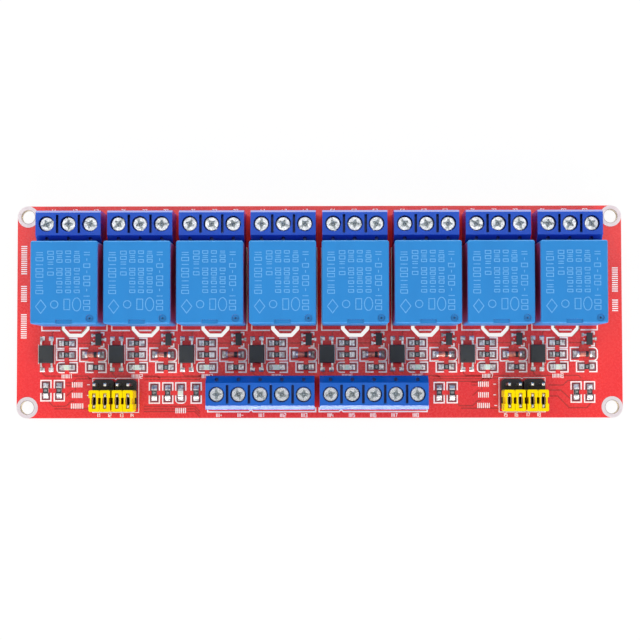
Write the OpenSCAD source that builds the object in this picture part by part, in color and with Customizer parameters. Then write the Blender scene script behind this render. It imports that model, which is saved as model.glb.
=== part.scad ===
// Eight-channel relay module board: relays, screw terminals, selector jumpers and control parts.
// The origin is the centre of the four mounting holes, on the underside of the board.
// +X runs along the board, +Y toward the output terminals, +Z up.

/* [Board] */
// Thickness of the board
board_t = 1.6; // [1:0.1:2.4]
// Radius of the board's corners
board_corner_r = 2.54; // [1:0.01:3]
// Board beyond the first and the last channel
end_margin = 5.35; // [5.1:0.05:9]
// Board behind the output terminals
rear_margin = 2.05; // [0.5:0.05:4]
// Board in front of the input terminals
front_margin = 2.15; // [0.5:0.05:4]
// Depth of the strip that carries the control parts
control_zone = 11.9; // [11.6:0.1:16]
// Gap between neighbouring relays
channel_gap = 1.26; // [1:0.02:4]

/* [Mounting holes] */
// Diameter of each mounting hole
hole_d = 3.2; // [2.2:0.1:3.2]
// Distance from a hole's centre to the two nearest edges
hole_inset = 2.54; // [2.54:0.01:3]
// Width of the tinned ring round each hole
ring_w = 0.94; // [0.4:0.01:0.94]
// Height of the tinned ring above the board
ring_t = 0.05; // [0.03:0.01:0.2]

/* [Relays] */
// Width of a relay
relay_w = 15.5; // [15:0.1:18]
// Length of a relay
relay_l = 19.2; // [18:0.1:22]
// Height of a relay
relay_h = 15.5; // [12:0.1:20]
// Rounding of the upright edges
relay_edge_r = 0.6; // [0.3:0.1:1.5]
// Rounding of the top edges
relay_top_r = 0.45; // [0.2:0.05:1.2]
// Thickness of the rim that stands on the board
relay_rim = 0.9; // [0.6:0.1:1.4]
// Depth of the sealed base inside the rim
relay_base_depth = 0.4; // [0.2:0.1:1]
// Diameter of the vent mark on top
vent_d = 1.75; // [1:0.05:3]
// Diameter of the pinhole in the vent mark
vent_pip_d = 0.5; // [0.3:0.05:0.9]
// Depth of the pinhole below the top
vent_pip_depth = 0.5; // [0.4:0.1:1.5]
// Distance from the vent mark to the right side
vent_side = 1.8; // [1.6:0.1:4]
// Distance from the vent mark to the front face
vent_front = 1.3; // [1.3:0.1:4]
// Length of the moulding mark at the front of the top
gate_l = 3.7; // [2:0.1:6]
// Depth of the moulding mark from the front face
gate_w = 0.95; // [0.5:0.05:2]
// Sink of both marks below the top
mark_depth = 0.25; // [0.05:0.05:0.3]
// Space between a relay and its output terminal
relay_gap = 0.1; // [0.05:0.05:2]

/* [Relay pins] */
// Width of a pin
relay_pin_w = 0.9; // [0.6:0.1:1.1]
// Thickness of a pin
relay_pin_t = 0.5; // [0.3:0.1:0.8]
// Reach of the pins below the board
relay_pin_reach = 1.6; // [1.2:0.1:1.8]
// Diameter of the drilled holes
relay_hole_d = 1.4; // [1.4:0.1:1.8]
// Distance from the outer pins to the sides of the relay
pin_side_inset = 1.75; // [1.6:0.05:2.5]
// Distance from the end pins to the ends of the relay
pin_end_inset = 2.5; // [2:0.1:3.5]
// Distance from the common pin's row to the coil pins' row
coil_row = 2; // [1.8:0.1:3.5]

/* [Isolation slots] */
// Width of the milled slot
slot_w = 0.9; // [0.6:0.05:1.2]
// Distance between the slot's two legs
slot_span = 5.9; // [5:0.1:7]
// Length of the slot's front run
slot_front_l = 3; // [2:0.1:4]
// Distance from the relay's front face to the front run
slot_front = 2.15; // [1.8:0.05:2.3]
// Distance from the relay's front face to the start of the bevels
slot_bevel = 0.6; // [0.2:0.05:1]
// Reach of the legs under the relay
slot_reach = 5.9; // [4:0.1:8]
// Offset of the slot from the middle of the channel
slot_shift = 0.2; // [0:0.05:0.4]

/* [Terminal blocks] */
// Distance between neighbouring poles
pole_pitch = 5.08; // [5:0.01:5.4]
// Depth of an input block
terminal_d = 7.9; // [7.6:0.1:9]
// Depth that the output blocks lack at their wire face
output_trim = 0.4; // [0:0.05:0.5]
// Height of a block
terminal_h = 10; // [9.6:0.1:12]
// Distance from the wire face to the screws of an input block
screw_inset = 3.55; // [3.4:0.05:4]
// Depth of the bevel above an input block's wire face
input_bevel_d = 0.95; // [0.6:0.05:1.4]
// Depth of the bevel above an output block's wire face
output_bevel_d = 0.5; // [0.3:0.05:1]
// Height of the bevels above the wire faces
front_bevel_h = 0.65; // [0.6:0.05:3]
// Depth of the bevel at the back
rear_bevel_d = 1.65; // [0.8:0.05:1.8]
// Height of the bevel at the back
rear_bevel_h = 2.6; // [1.5:0.1:4]
// Wall between two poles
pole_wall = 1; // [0.8:0.1:1.2]
// Wall in front of the clamps
wire_wall = 0.8; // [0.6:0.1:1]
// Wall behind the clamps
back_wall = 0.9; // [0.7:0.1:1.1]
// Height of the chamber that holds a clamp
chamber_h = 6.8; // [6.6:0.1:6.9]
// Thickness of the shelf under the screw's head
shelf_t = 0.6; // [0.4:0.1:0.9]
// Diameter of the screw's well
well_d = 3.65; // [3.5:0.05:3.9]
// Width of the wire window
window_w = 3.3; // [2.4:0.1:3.5]
// Height of the wire window
window_h = 3.4; // [2.4:0.1:3.6]
// Height of the window's sill above the board
window_sill = 0.9; // [0.6:0.1:1.2]
// Width of the slot between two poles
gap_slot_w = 0.6; // [0.4:0.05:0.8]
// Length of the slot between two poles
gap_slot_l = 4.3; // [3:0.1:4.6]
// Depth of the slot between two poles
gap_slot_depth = 2.6; // [1:0.1:2.7]
// Diameter of the probe hole on the back bevel
probe_d = 0.85; // [0.5:0.05:1]
// Distance from the back to the probe holes
probe_inset = 0.9; // [0.6:0.05:1]
// Height of the gap under the side walls
foot_h = 0.4; // [0.2:0.1:0.8]
// Depth of the feet along the two long sides
foot_d = 0.7; // [0.4:0.1:0.8]
// Board between the two input blocks
input_gap = 1.2; // [0.4:0.1:3]
// Offset of the input blocks from the middle of the board
input_shift = -0.5; // [-2:0.1:2]

/* [Clamps and screws] */
// Play of a clamp in its chamber
clamp_play = 0.1; // [0.05:0.01:0.2]
// Depth of a clamp
clamp_d = 4; // [3:0.1:4.6]
// Height of a clamp
clamp_h = 5.5; // [5:0.1:5.7]
// Wall of a clamp
clamp_t = 0.6; // [0.4:0.05:0.7]
// Height of the tapped top of a clamp
clamp_top = 1.2; // [0.8:0.1:1.4]
// Height of the clamp above the board
clamp_lift = 0.6; // [0.3:0.1:0.8]
// Diameter of the screw's head
head_d = 3.3; // [3:0.05:3.35]
// Height of the screw's head
head_h = 1.6; // [1.2:0.1:1.8]
// Diameter of the screw's shank
shank_d = 2.5; // [2:0.1:2.6]
// Clearance round the shank
shank_play = 0.05; // [0.03:0.01:0.1]
// Width of the driver slot
driver_slot_w = 0.5; // [0.4:0.05:0.8]
// Depth of the driver slot
driver_slot_depth = 0.6; // [0.4:0.1:1]
// Width of the cross recess over its points
cross_l = 2.2; // [1.4:0.1:2.4]
// Width of the cross recess between its points
cross_waist = 1.2; // [0.8:0.05:1.3]
// Depth of the cross recess
cross_depth = 0.9; // [0.6:0.1:1.2]
// Depth of the cone at its bottom
cross_tip = 0.35; // [0.1:0.05:0.4]
// Chamfer round the top of the head
head_edge = 0.12; // [0.05:0.01:0.2]
// Chamfer at the end of the shank
shank_tip = 0.3; // [0.1:0.05:0.5]
// Thickness of the contact strip
strip_t = 0.6; // [0.4:0.05:0.7]
// Width of the contact strip
strip_w = 2.4; // [1.6:0.1:2.4]
// Height of the contact strip's top above the board
strip_z = 4.2; // [3.9:0.1:4.4]
// Width of the strip's solder pin
strip_pin_w = 1; // [0.6:0.1:1]
// Reach of the solder pins below the board
strip_pin_reach = 2; // [1.9:0.1:2.6]
// Diameter of the drilled holes
strip_hole_d = 1.4; // [1.4:0.1:1.8]

/* [Selector headers] */
// Distance between neighbouring pins
header_pitch = 2.54; // [2.54:0.01:2.6]
// Height of the header's body
header_h = 2.5; // [2:0.1:3]
// Chamfer of the header's corners
header_chamfer = 0.75; // [0.3:0.05:0.9]
// Air between the two headers of a group
header_gap = 0.3; // [0.1:0.05:1]
// Height of the relief under the header
header_relief = 0.4; // [0.2:0.1:0.8]
// Side of a square pin
header_pin_t = 0.64; // [0.5:0.02:0.64]
// Length of the pins above the body
header_pin_rise = 6; // [5.5:0.1:7]
// Reach of the pins below the board
header_pin_reach = 1.4; // [1:0.1:1.7]
// Taper at each end of a pin
header_tip = 0.15; // [0.05:0.05:0.25]
// Diameter of the drilled holes
header_hole_d = 1.02; // [1:0.02:1.2]
// Distance from the first channel to the left headers' middle
header_left_x = 9.96; // [9:0.02:12]
// Distance from the last channel to the right headers' middle
header_right_x = 10.26; // [9:0.02:14]
// Distance from the board's front edge to the middle pins
header_front = 5.46; // [5:0.02:5.6]

/* [Jumper caps] */
// Width of a cap
cap_w = 2.48; // [2.2:0.02:2.5]
// Length of a cap
cap_l = 5.04; // [4.6:0.02:5.06]
// Height of a cap
cap_h = 6; // [5:0.1:6.5]
// Thickness of a cap's top
cap_top = 0.8; // [0.4:0.1:1.2]
// Depth of the grip notch at mid-length
cap_notch_d = 0.3; // [0.1:0.05:0.4]
// Length of the grip notch
cap_notch_l = 1.5; // [0.8:0.1:2]
// Chamfer of the cap's corners
cap_chamfer = 0.25; // [0.1:0.05:0.4]
// Width of the window's narrow ends
cap_slit_w = 0.8; // [0.7:0.05:1]
// Width of the window's middle
cap_window_w = 1.15; // [0.9:0.05:1.3]
// Length of the window's middle
cap_window_l = 1.5; // [1:0.1:1.7]
// Metal of the spring clip
clip_t = 0.2; // [0.1:0.05:0.25]
// Height of the spring clip
clip_h = 3.6; // [2:0.1:4]
// Play of the clip in its cap
clip_play = 0.05; // [0.03:0.01:0.1]

/* [Optocouplers] */
// Width of the body
opto_w = 3.6; // [3.2:0.1:3.8]
// Length of the body
opto_l = 4.3; // [4:0.1:4.6]
// Height of the body's top above the board
opto_h = 2; // [1.6:0.1:2.4]
// Air under the body
opto_lift = 0.1; // [0.1:0.05:0.2]
// Slope of the moulded sides above and below the leads
opto_draft = 0.15; // [0.05:0.05:0.25]
// Distance between the leads on a side
opto_pitch = 2.54; // [2.2:0.02:2.54]
// Distance between the solder pads on a side
opto_pad_pitch = 2.1; // [2:0.05:2.5]
// Reach of the leads beyond the body
opto_reach = 1.8; // [1.4:0.1:2]
// Diameter of the dimple that marks the first lead
dimple_d = 0.7; // [0.4:0.1:1]
// Depth of the dimple
dimple_depth = 0.1; // [0.05:0.05:0.2]
// Width of a lead
opto_lead_w = 0.45; // [0.3:0.05:0.5]
// Solder on each side of a lead's foot
opto_foot_side = 0.33; // [0.3:0.01:0.36]
// Length of a lead's foot
opto_foot = 0.9; // [0.6:0.05:1]
// Middle height at which the leads leave the body
opto_exit = 0.8; // [0.5:0.05:1]

/* [Small parts] */
// Thickness of the leads
lead_t = 0.18; // [0.12:0.02:0.24]
// Solder beyond a lead's foot
foot_solder = 0.3; // [0.1:0.05:0.4]
// Width of a transistor's body
sot_w = 1.5; // [1.2:0.1:1.6]
// Length of a transistor's body
sot_l = 2.9; // [2.6:0.1:3.1]
// Height of a transistor
sot_h = 1; // [0.95:0.05:1.2]
// Slope of a transistor's moulded sides
sot_draft = 0.08; // [0.04:0.02:0.12]
// Distance between the two leads on one side
sot_pitch = 1.9; // [1.7:0.05:2]
// Reach of a transistor's leads
sot_reach = 0.75; // [0.6:0.05:0.8]
// Width of a transistor's lead
sot_lead_w = 0.42; // [0.3:0.02:0.5]
// Solder on each side of a transistor's foot
sot_foot_side = 0.2; // [0.1:0.05:0.3]
// Length of a transistor's foot
sot_foot = 0.35; // [0.25:0.05:0.4]
// Middle height at which a transistor's leads leave the body
sot_exit = 0.55; // [0.4:0.05:0.65]
// Length of a chip resistor
chip_l = 2; // [1.8:0.05:2.2]
// Width of a chip resistor
chip_w = 1.25; // [1:0.05:1.3]
// Distance from the board's front edge to the chips beside the input blocks
front_row = 6; // [5.6:0.1:7.6]
// Distance from the board's front edge to the chips outside the left headers
left_outer_row = 6.6; // [5.6:0.1:7.6]
// Distance from the board's front edge to the chips outside the right headers
right_outer_row = 6.1; // [5.6:0.1:7.6]
// Height of a chip resistor
chip_h = 0.55; // [0.4:0.05:0.7]
// Length of a chip's metal end
chip_end = 0.35; // [0.25:0.05:0.5]
// Rise of a chip's metal ends over its body
chip_end_rise = 0.04; // [0.02:0.01:0.08]
// Solder beyond a chip's end
chip_solder = 0.85; // [0.4:0.05:0.95]
// Height of an indicator lamp
led_h = 0.8; // [0.7:0.05:1.1]
// Length of an indicator's lens
led_lens_l = 1.3; // [1.25:0.05:1.6]
// Lean of the lens's two ends
led_slope = 0.12; // [0.05:0.01:0.2]
// Diameter of a diode's glass
diode_d = 1.35; // [1.2:0.05:1.4]
// Length of a diode
diode_l = 3.5; // [3.2:0.1:3.7]
// Length of a diode's metal cap
diode_cap_l = 0.45; // [0.3:0.05:0.6]
// Thickness of a diode's metal cap over the glass
diode_cap_t = 0.08; // [0.04:0.02:0.1]

/* [Solder joints] */
// Height of the solder cone under the board
cone_h = 0.8; // [0.5:0.1:1]
// Width of the solder round a drilled hole
cone_w = 0.45; // [0.2:0.05:0.45]
// Width of the solder round the pin at the cone's tip
cone_tip = 0.1; // [0.05:0.05:0.15]
// Share of a part's end that the solder climbs
fillet_climb = 0.9; // [0.6:0.05:1]
// Share of its height that a fillet keeps at its toe
fillet_toe = 0.15; // [0.05:0.05:0.3]
// Share of its height that a fillet keeps at its knee
fillet_belly = 0.5; // [0.35:0.05:0.7]
// Share of its reach at which a fillet has its knee
fillet_knee = 0.4; // [0.3:0.05:0.6]
// Height of the solder over a foot, in lead thicknesses
foot_cover = 1.3; // [1.1:0.05:1.6]

/* [Hidden] */
$fn = 40;
channels = 8;
output_poles = 3;
input_poles = 5;
piece_columns = 2;
header_rows = 3;
cut = 1;

channel_pitch = max(relay_w, output_poles * pole_pitch) + channel_gap;
board_l = channels * channel_pitch + 2 * end_margin;
output_d = terminal_d - output_trim;
board_w = rear_margin + output_d + relay_gap + relay_l + control_zone + terminal_d + front_margin;

// Rows, from the back of the board to its front
output_wire_y = board_w / 2 - rear_margin;
output_y = output_wire_y + output_trim - screw_inset;
relay_rear_y = output_wire_y - output_d - relay_gap;
relay_y = relay_rear_y - relay_l / 2;
relay_front_y = relay_rear_y - relay_l;
input_wire_y = -board_w / 2 + front_margin;
input_y = input_wire_y + screw_inset;
header_y = -board_w / 2 + header_front;
cap_y = header_y - header_pitch / 2;

function channel_x(c) = (c - (channels - 1) / 2) * channel_pitch;

// Input blocks and the headers on both sides of them
input_l = input_poles * pole_pitch;
input_xs = [for (side = [-1, 1]) input_shift + side * (input_l + input_gap) / 2];
input_left = input_xs[0] - input_l / 2;
input_right = input_xs[1] + input_l / 2;
group_xs = [channel_x(0) + header_left_x, channel_x(channels - 1) - header_right_x];
piece_l = piece_columns * header_pitch;
piece_xs = [for (x = group_xs) for (side = [-1, 1]) x + side * (piece_l + header_gap) / 2];
column_xs = [for (x = piece_xs) for (side = [-1, 1]) x + side * header_pitch / 2];
row_ys = [for (r = [-1 : header_rows - 2]) header_y + r * header_pitch];
header_top = board_t + header_h;

// Screw places of the blocks, and the solder pins behind them
function pole_xs(x, poles) = [for (p = [0 : poles - 1]) x + (p - (poles - 1) / 2) * pole_pitch];
output_screw_xs = [for (c = [0 : channels - 1]) each pole_xs(channel_x(c), output_poles)];
input_screw_xs = [for (x = input_xs) each pole_xs(x, input_poles)];
wire_y = screw_inset;
back_y = screw_inset - terminal_d;
chamber_back_y = back_y + back_wall;
strip_pin_y = chamber_back_y + strip_t / 2;

// Relay pins: common, two coil pins and two contact pins
pin_x = relay_w / 2 - pin_side_inset;
common_y = -relay_l / 2 + pin_end_inset;
contact_y = relay_l / 2 - pin_end_inset;
relay_pin_places = [
    [0, common_y],
    [-pin_x, common_y + coil_row],
    [pin_x, common_y + coil_row],
    [-pin_x, contact_y],
    [pin_x, contact_y]
];

// Chip places in a channel, from the middle of the channel and the relay's front face
opto_place = [-6.55, -6.65];
series_places = [[-1.8, -4.05], [-1.8, -6.85]];
pull_place = [5.2, -9.8];
led_place = [-1.7, -9.85];
diode_place = [4.55, -6.8];
sot_place = [5.85, -3.15];

// Upright chips along the front edge, beside the input blocks and outside the headers
left_gaps = [2.95, 9.75, 12.95];
right_gaps = [3.1, 6.2];
left_outer_gaps = [13.5, 16.7];
right_outer_gaps = [12.9, 16.1];
power_led_gap = 6.65;
front_chips = concat(
    [for (g = left_gaps) [input_left - g, front_row]],
    [for (g = right_gaps) [input_right + g, front_row]],
    [for (g = left_outer_gaps) [group_xs[0] - g, left_outer_row]],
    [for (g = right_outer_gaps) [group_xs[1] + g, right_outer_row]]
);

// ---- Shared shapes ----

// Rounded rectangle, centred
module rounded(l, w, r) {
    square([l - 2 * r, w], center = true);
    square([l, w - 2 * r], center = true);
    for (x = [-1, 1], y = [-1, 1]) translate([x * (l / 2 - r), y * (w / 2 - r)]) circle(r);
}

// Rectangle with cut corners, centred
module chamfered(l, w, c) {
    polygon([
        [-l / 2 + c, -w / 2], [l / 2 - c, -w / 2], [l / 2, -w / 2 + c], [l / 2, w / 2 - c],
        [l / 2 - c, w / 2], [-l / 2 + c, w / 2], [-l / 2, w / 2 - c], [-l / 2, -w / 2 + c]
    ]);
}

// Round-ended stroke between two points
module stroke(a, b, w) {
    run = b - a;
    translate(a) circle(w / 2);
    translate(b) circle(w / 2);
    translate((a + b) / 2) rotate(atan2(run[1], run[0])) square([norm(run), w], center = true);
}

// A Y-Z profile drawn flat, made solid along X
module along_x(l) {
    rotate([90, 0, 90]) translate([0, 0, -l / 2]) linear_extrude(l) children();
}

// An X-Z profile drawn flat, made solid along Y
module along_y(l) {
    rotate([90, 0, 0]) translate([0, 0, -l / 2]) linear_extrude(l) children();
}

// Moulded block whose four sides lean inward above and below its parting line
module drafted_block(l, w, z0, mid, z1, draft) {
    intersection() {
        along_x(l) drafted_profile(w, z0, mid, z1, draft);
        along_y(w) drafted_profile(l, z0, mid, z1, draft);
    }
}

module drafted_profile(w, z0, mid, z1, draft) {
    polygon([
        [-w / 2 + draft, z0], [w / 2 - draft, z0], [w / 2, mid],
        [w / 2 - draft, z1], [-w / 2 + draft, z1], [-w / 2, mid]
    ]);
}

// ---- Board ----

module through_holes() {
    for (c = [0 : channels - 1], p = relay_pin_places)
        translate([channel_x(c), relay_y] + p) circle(d = relay_hole_d);
    for (x = output_screw_xs) translate([x, output_y + strip_pin_y]) circle(d = strip_hole_d);
    for (x = input_screw_xs) translate([x, input_y - strip_pin_y]) circle(d = strip_hole_d);
    for (x = column_xs, y = row_ys) translate([x, y]) circle(d = header_hole_d);
}

// Slot that keeps the switched contact apart from the coil
module isolation_slot() {
    leg = slot_span / 2;
    run = slot_front_l / 2;
    path = [[-leg, slot_reach], [-leg, -slot_bevel], [-run, -slot_front],
        [run, -slot_front], [leg, -slot_bevel], [leg, slot_reach]];
    for (i = [0 : len(path) - 2]) stroke(path[i], path[i + 1], slot_w);
}

module mounting_places() {
    for (x = [-1, 1], y = [-1, 1])
        translate([x * (board_l / 2 - hole_inset), y * (board_w / 2 - hole_inset)]) children();
}

module board() {
    color("crimson") linear_extrude(board_t) difference() {
        rounded(board_l, board_w, board_corner_r);
        mounting_places() circle(d = hole_d);
        through_holes();
        for (c = [0 : channels - 1]) translate([channel_x(c) + slot_shift, relay_front_y]) isolation_slot();
    }
}

module mounting_rings() {
    color("gainsboro") for (z = [-ring_t, board_t]) translate([0, 0, z])
        mounting_places() linear_extrude(ring_t) difference() {
            circle(d = hole_d + 2 * ring_w);
            circle(d = hole_d);
        }
}

// ---- Relays ----

// Case with its rim, sealed base and the two marks on top
module relay() {
    color("steelblue") difference() {
        intersection() {
            linear_extrude(relay_h) rounded(relay_w, relay_l, relay_edge_r);
            along_x(relay_w + cut) relay_profile(relay_l);
            along_y(relay_l + cut) relay_profile(relay_w);
        }
        translate([0, 0, relay_base_depth / 2 - cut / 2])
            cube([relay_w - 2 * relay_rim, relay_l - 2 * relay_rim, relay_base_depth + cut], center = true);
        translate([relay_w / 2 - vent_side, -relay_l / 2 + vent_front, relay_h]) {
            translate([0, 0, -mark_depth]) cylinder(d = vent_d, h = cut);
            translate([0, 0, -vent_pip_depth]) cylinder(d = vent_pip_d, h = cut);
        }
        translate([-gate_l / 2, -relay_l / 2 - cut, relay_h - mark_depth]) cube([gate_l, gate_w + cut, cut]);
    }
}

// Side view of the case, with its two top edges rounded
module relay_profile(l) {
    translate([-l / 2, 0]) square([l, relay_h - relay_top_r]);
    translate([-l / 2 + relay_top_r, 0]) square([l - 2 * relay_top_r, relay_h]);
    for (side = [-1, 1]) translate([side * (l / 2 - relay_top_r), relay_h - relay_top_r]) circle(relay_top_r);
}

module relay_pins() {
    h = board_t + relay_base_depth + relay_pin_reach;
    color("silver") for (c = [0 : channels - 1], p = relay_pin_places)
        translate([channel_x(c) + p[0], relay_y + p[1], h / 2 - relay_pin_reach])
            cube([relay_pin_w, relay_pin_t, h], center = true);
}

// ---- Screw terminals ----
// A block is drawn with its screws along Y = 0, its wire face toward +Y and its feet at Z = 0.

shelf_z = chamber_h + shelf_t;
chamber_w = pole_pitch - pole_wall;

module block_profile(face_y, bevel_d) {
    polygon([
        [back_y, 0], [face_y, 0], [face_y, terminal_h - front_bevel_h],
        [face_y - bevel_d, terminal_h], [back_y + rear_bevel_d, terminal_h],
        [back_y, terminal_h - rear_bevel_h]
    ]);
}

// Everything that one pole takes out of a housing whose wire face is at face_y
module pole_space(face_y) {
    chamber_d = face_y - wire_wall - chamber_back_y;
    translate([0, 0, shelf_z]) cylinder(d = well_d, h = terminal_h);
    translate([0, 0, chamber_h / 2]) cylinder(d = shank_d + 4 * shank_play, h = terminal_h);
    translate([-chamber_w / 2, chamber_back_y, -cut]) cube([chamber_w, chamber_d, chamber_h + cut]);
    translate([-window_w / 2, 0, window_sill]) cube([window_w, terminal_d, window_h]);
    translate([0, back_y + probe_inset, terminal_h - rear_bevel_h])
        cylinder(d = probe_d, h = terminal_h, $fn = 24);
}

module terminal_housing(poles, trim, bevel_d, shade) {
    l = poles * pole_pitch;
    face_y = wire_y - trim;
    slot_y = (face_y - bevel_d + back_y + rear_bevel_d) / 2;
    color(shade) difference() {
        along_x(l) block_profile(face_y, bevel_d);
        for (x = pole_xs(0, poles)) translate([x, 0, 0]) pole_space(face_y);
        for (x = pole_xs(0, poles - 1)) translate([x, slot_y, terminal_h])
            cube([gap_slot_w, gap_slot_l, 2 * gap_slot_depth], center = true);
        translate([0, (face_y + back_y) / 2, 0])
            cube([l + cut, face_y - back_y - 2 * foot_d, 2 * foot_h], center = true);
    }
}

// Rising box clamp with a tapped top
module clamp() {
    w = chamber_w - 2 * clamp_play;
    translate([0, 0, clamp_lift]) difference() {
        translate([-w / 2, -clamp_d / 2, 0]) cube([w, clamp_d, clamp_h]);
        translate([-w / 2 + clamp_t, -clamp_d, clamp_t])
            cube([w - 2 * clamp_t, 2 * clamp_d, clamp_h - clamp_t - clamp_top]);
        cylinder(d = shank_d + 2 * shank_play, h = clamp_h + cut);
    }
}

// Strip that the screw bears on, bent down into the solder pin
module contact_strip() {
    front_y = wire_y - output_trim - wire_wall - clamp_play;
    along_x(strip_w) polygon([
        [chamber_back_y, foot_h], [chamber_back_y + strip_t, foot_h],
        [chamber_back_y + strip_t, strip_z - strip_t], [front_y, strip_z - strip_t],
        [front_y, strip_z], [chamber_back_y, strip_z]
    ]);
    h = foot_h + board_t + strip_pin_reach;
    translate([-strip_pin_w / 2, chamber_back_y, foot_h - h]) cube([strip_pin_w, strip_t, h]);
}

// Screw with a driver slot and a cross recess
module terminal_screw() {
    top = shelf_z + head_h;
    difference() {
        rotate_extrude() polygon([
            [0, strip_z], [shank_d / 2 - shank_tip, strip_z], [shank_d / 2, strip_z + shank_tip],
            [shank_d / 2, shelf_z], [head_d / 2, shelf_z], [head_d / 2, top - head_edge],
            [head_d / 2 - head_edge, top], [0, top]
        ]);
        translate([0, 0, top]) driver_recess();
    }
}

// Four-pointed recess with a cone at its bottom, crossed by a slot in line with two of the points
module driver_recess() {
    cube([head_d + cut, driver_slot_w, 2 * driver_slot_depth], center = true);
    translate([0, 0, -cross_depth]) linear_extrude(cross_depth + cut)
        polygon([for (i = [0 : 7]) (i % 2 == 0 ? cross_l : cross_waist) / 2 * [cos(45 * i), sin(45 * i)]]);
    translate([0, 0, -cross_depth - cross_tip]) cylinder(d1 = 0, d2 = cross_waist * cos(45), h = cross_tip);
}

// Angle at which a screw was left
function screw_turn(i) = (i * 67 + 25) % 180;

module at_output() {
    for (i = [0 : len(output_screw_xs) - 1]) translate([output_screw_xs[i], output_y, board_t]) {
        $turn = screw_turn(i);
        children();
    }
}

module at_input() {
    for (i = [0 : len(input_screw_xs) - 1]) translate([input_screw_xs[i], input_y, board_t]) rotate(180) {
        $turn = screw_turn(3 * i + 1);
        children();
    }
}

module output_terminal(c) {
    translate([channel_x(c), output_y, board_t])
        terminal_housing(output_poles, output_trim, output_bevel_d, "royalblue");
}

module input_terminal(b) {
    translate([input_xs[b], input_y, board_t]) rotate(180)
        terminal_housing(input_poles, 0, input_bevel_d, "dodgerblue");
}

module output_screws() {
    color("silver") at_output() rotate($turn) terminal_screw();
}

module input_screws() {
    color("silver") at_input() rotate($turn) terminal_screw();
}

module wire_clamps() {
    color("gainsboro") {
        at_output() clamp();
        at_input() clamp();
    }
}

module contact_strips() {
    color("silver") {
        at_output() contact_strip();
        at_input() contact_strip();
    }
}

// ---- Selector headers and jumpers ----

module header(i) {
    w = header_rows * header_pitch;
    pin_cut = board_t + header_h + cut;
    color("dimgray") difference() {
        translate([piece_xs[i], header_y, board_t]) linear_extrude(header_h)
            chamfered(piece_l, w, header_chamfer);
        translate([piece_xs[i], header_y, board_t])
            cube([piece_l - 2 * header_chamfer, w + cut, 2 * header_relief], center = true);
        for (c = [0 : piece_columns - 1], y = row_ys)
            translate([column_xs[piece_columns * i + c], y, pin_cut])
                cube([header_pin_t, header_pin_t, 2 * pin_cut], center = true);
    }
}

// Square pin with tapered ends, standing at the origin of the board's underside
module header_pin() {
    top = header_top + header_pin_rise;
    intersection() {
        along_x(header_pin_t + cut) header_pin_profile(top);
        along_y(header_pin_t + cut) header_pin_profile(top);
    }
}

module header_pin_profile(top) {
    translate([0, (top - header_pin_reach) / 2]) chamfered(header_pin_t, top + header_pin_reach, header_tip);
}

module header_pins() {
    color("gold") for (x = column_xs, y = row_ys) translate([x, y, 0]) header_pin();
}

clip_w = header_pin_t + 2 * clip_t;
clip_l = header_pitch + header_pin_t + 2 * clip_t;

// Cap with grip notches, an I-shaped window and a chamber for its clip
module jumper_cap(c) {
    color("gold") translate([column_xs[c], cap_y, header_top]) difference() {
        linear_extrude(cap_h) difference() {
            chamfered(cap_w, cap_l, cap_chamfer);
            for (side = [-1, 1]) translate([side * cap_w / 2, 0])
                square([2 * cap_notch_d, cap_notch_l], center = true);
        }
        translate([0, 0, (cap_h - cap_top) / 2 - cut / 2])
            cube([clip_w + 2 * clip_play, clip_l + 2 * clip_play, cap_h - cap_top + cut], center = true);
        translate([0, 0, cap_h]) {
            cube([cap_slit_w, clip_l, 3 * cap_top], center = true);
            cube([cap_window_w, cap_window_l, 3 * cap_top], center = true);
        }
    }
}

// Spring loops that grip each pair of pins
module jumper_clips() {
    color("goldenrod") for (x = column_xs)
        translate([x, cap_y, header_top + cap_h - cap_top - clip_h]) linear_extrude(clip_h) difference() {
            square([clip_w, clip_l], center = true);
            square([header_pin_t, clip_l - 2 * clip_t], center = true);
        }
}

// ---- Control parts ----

// Puts its children at a place in every channel, on the board
module in_channels(place) {
    for (c = [0 : channels - 1])
        translate([channel_x(c) + place[0], relay_front_y + place[1], board_t]) children();
}

// Gull-wing lead that leaves a body's side at y = 0 and sets its foot down toward +Y
module gull_lead(reach, foot, exit, w) {
    knee = reach - foot;
    along_x(w) polygon([
        [0, exit + lead_t / 2], [0, exit - lead_t / 2], [knee - lead_t, exit - lead_t / 2],
        [knee - lead_t / 2, 0], [reach, 0], [reach, lead_t],
        [knee + lead_t / 2, lead_t], [knee, exit + lead_t / 2]
    ]);
}

// Solder round a gull-wing foot; a pad may lie a little inward of its lead
module foot_fillet(reach, foot, exit, w, side) {
    heel = reach - foot + lead_t;
    difference() {
        translate([$inward, 0, 0]) along_x(w + 2 * side) polygon([
            [heel, 0], [reach + foot_solder, 0], [reach + foot_solder, lead_t * fillet_belly],
            [reach, lead_t * foot_cover], [heel, lead_t * foot_cover]
        ]);
        gull_lead(reach, foot, exit, w);
    }
}

module optocoupler(c) {
    place = [channel_x(c) + opto_place[0], relay_front_y + opto_place[1], board_t];
    color([0.26, 0.27, 0.28]) translate(place) difference() {
        drafted_block(opto_w, opto_l, opto_lift, opto_exit, opto_h, opto_draft);
        translate([-opto_w / 4, -opto_l / 3, opto_h - dimple_depth]) cylinder(d = dimple_d, h = cut);
    }
}

// Places of the four leads, foot outward
module opto_lead_places() {
    for (end = [0, 180]) rotate(end) for (side = [-1, 1])
        translate([side * opto_pitch / 2, opto_l / 2, 0]) {
            $inward = side * (opto_pad_pitch - opto_pitch) / 2;
            children();
        }
}

module optocoupler_leads() {
    color("silver") in_channels(opto_place) opto_lead_places()
        gull_lead(opto_reach, opto_foot, opto_exit, opto_lead_w);
}

module transistors() {
    color([0.2, 0.21, 0.22]) in_channels(sot_place)
        drafted_block(sot_w, sot_l, opto_lift, sot_exit, sot_h, sot_draft);
}

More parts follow.
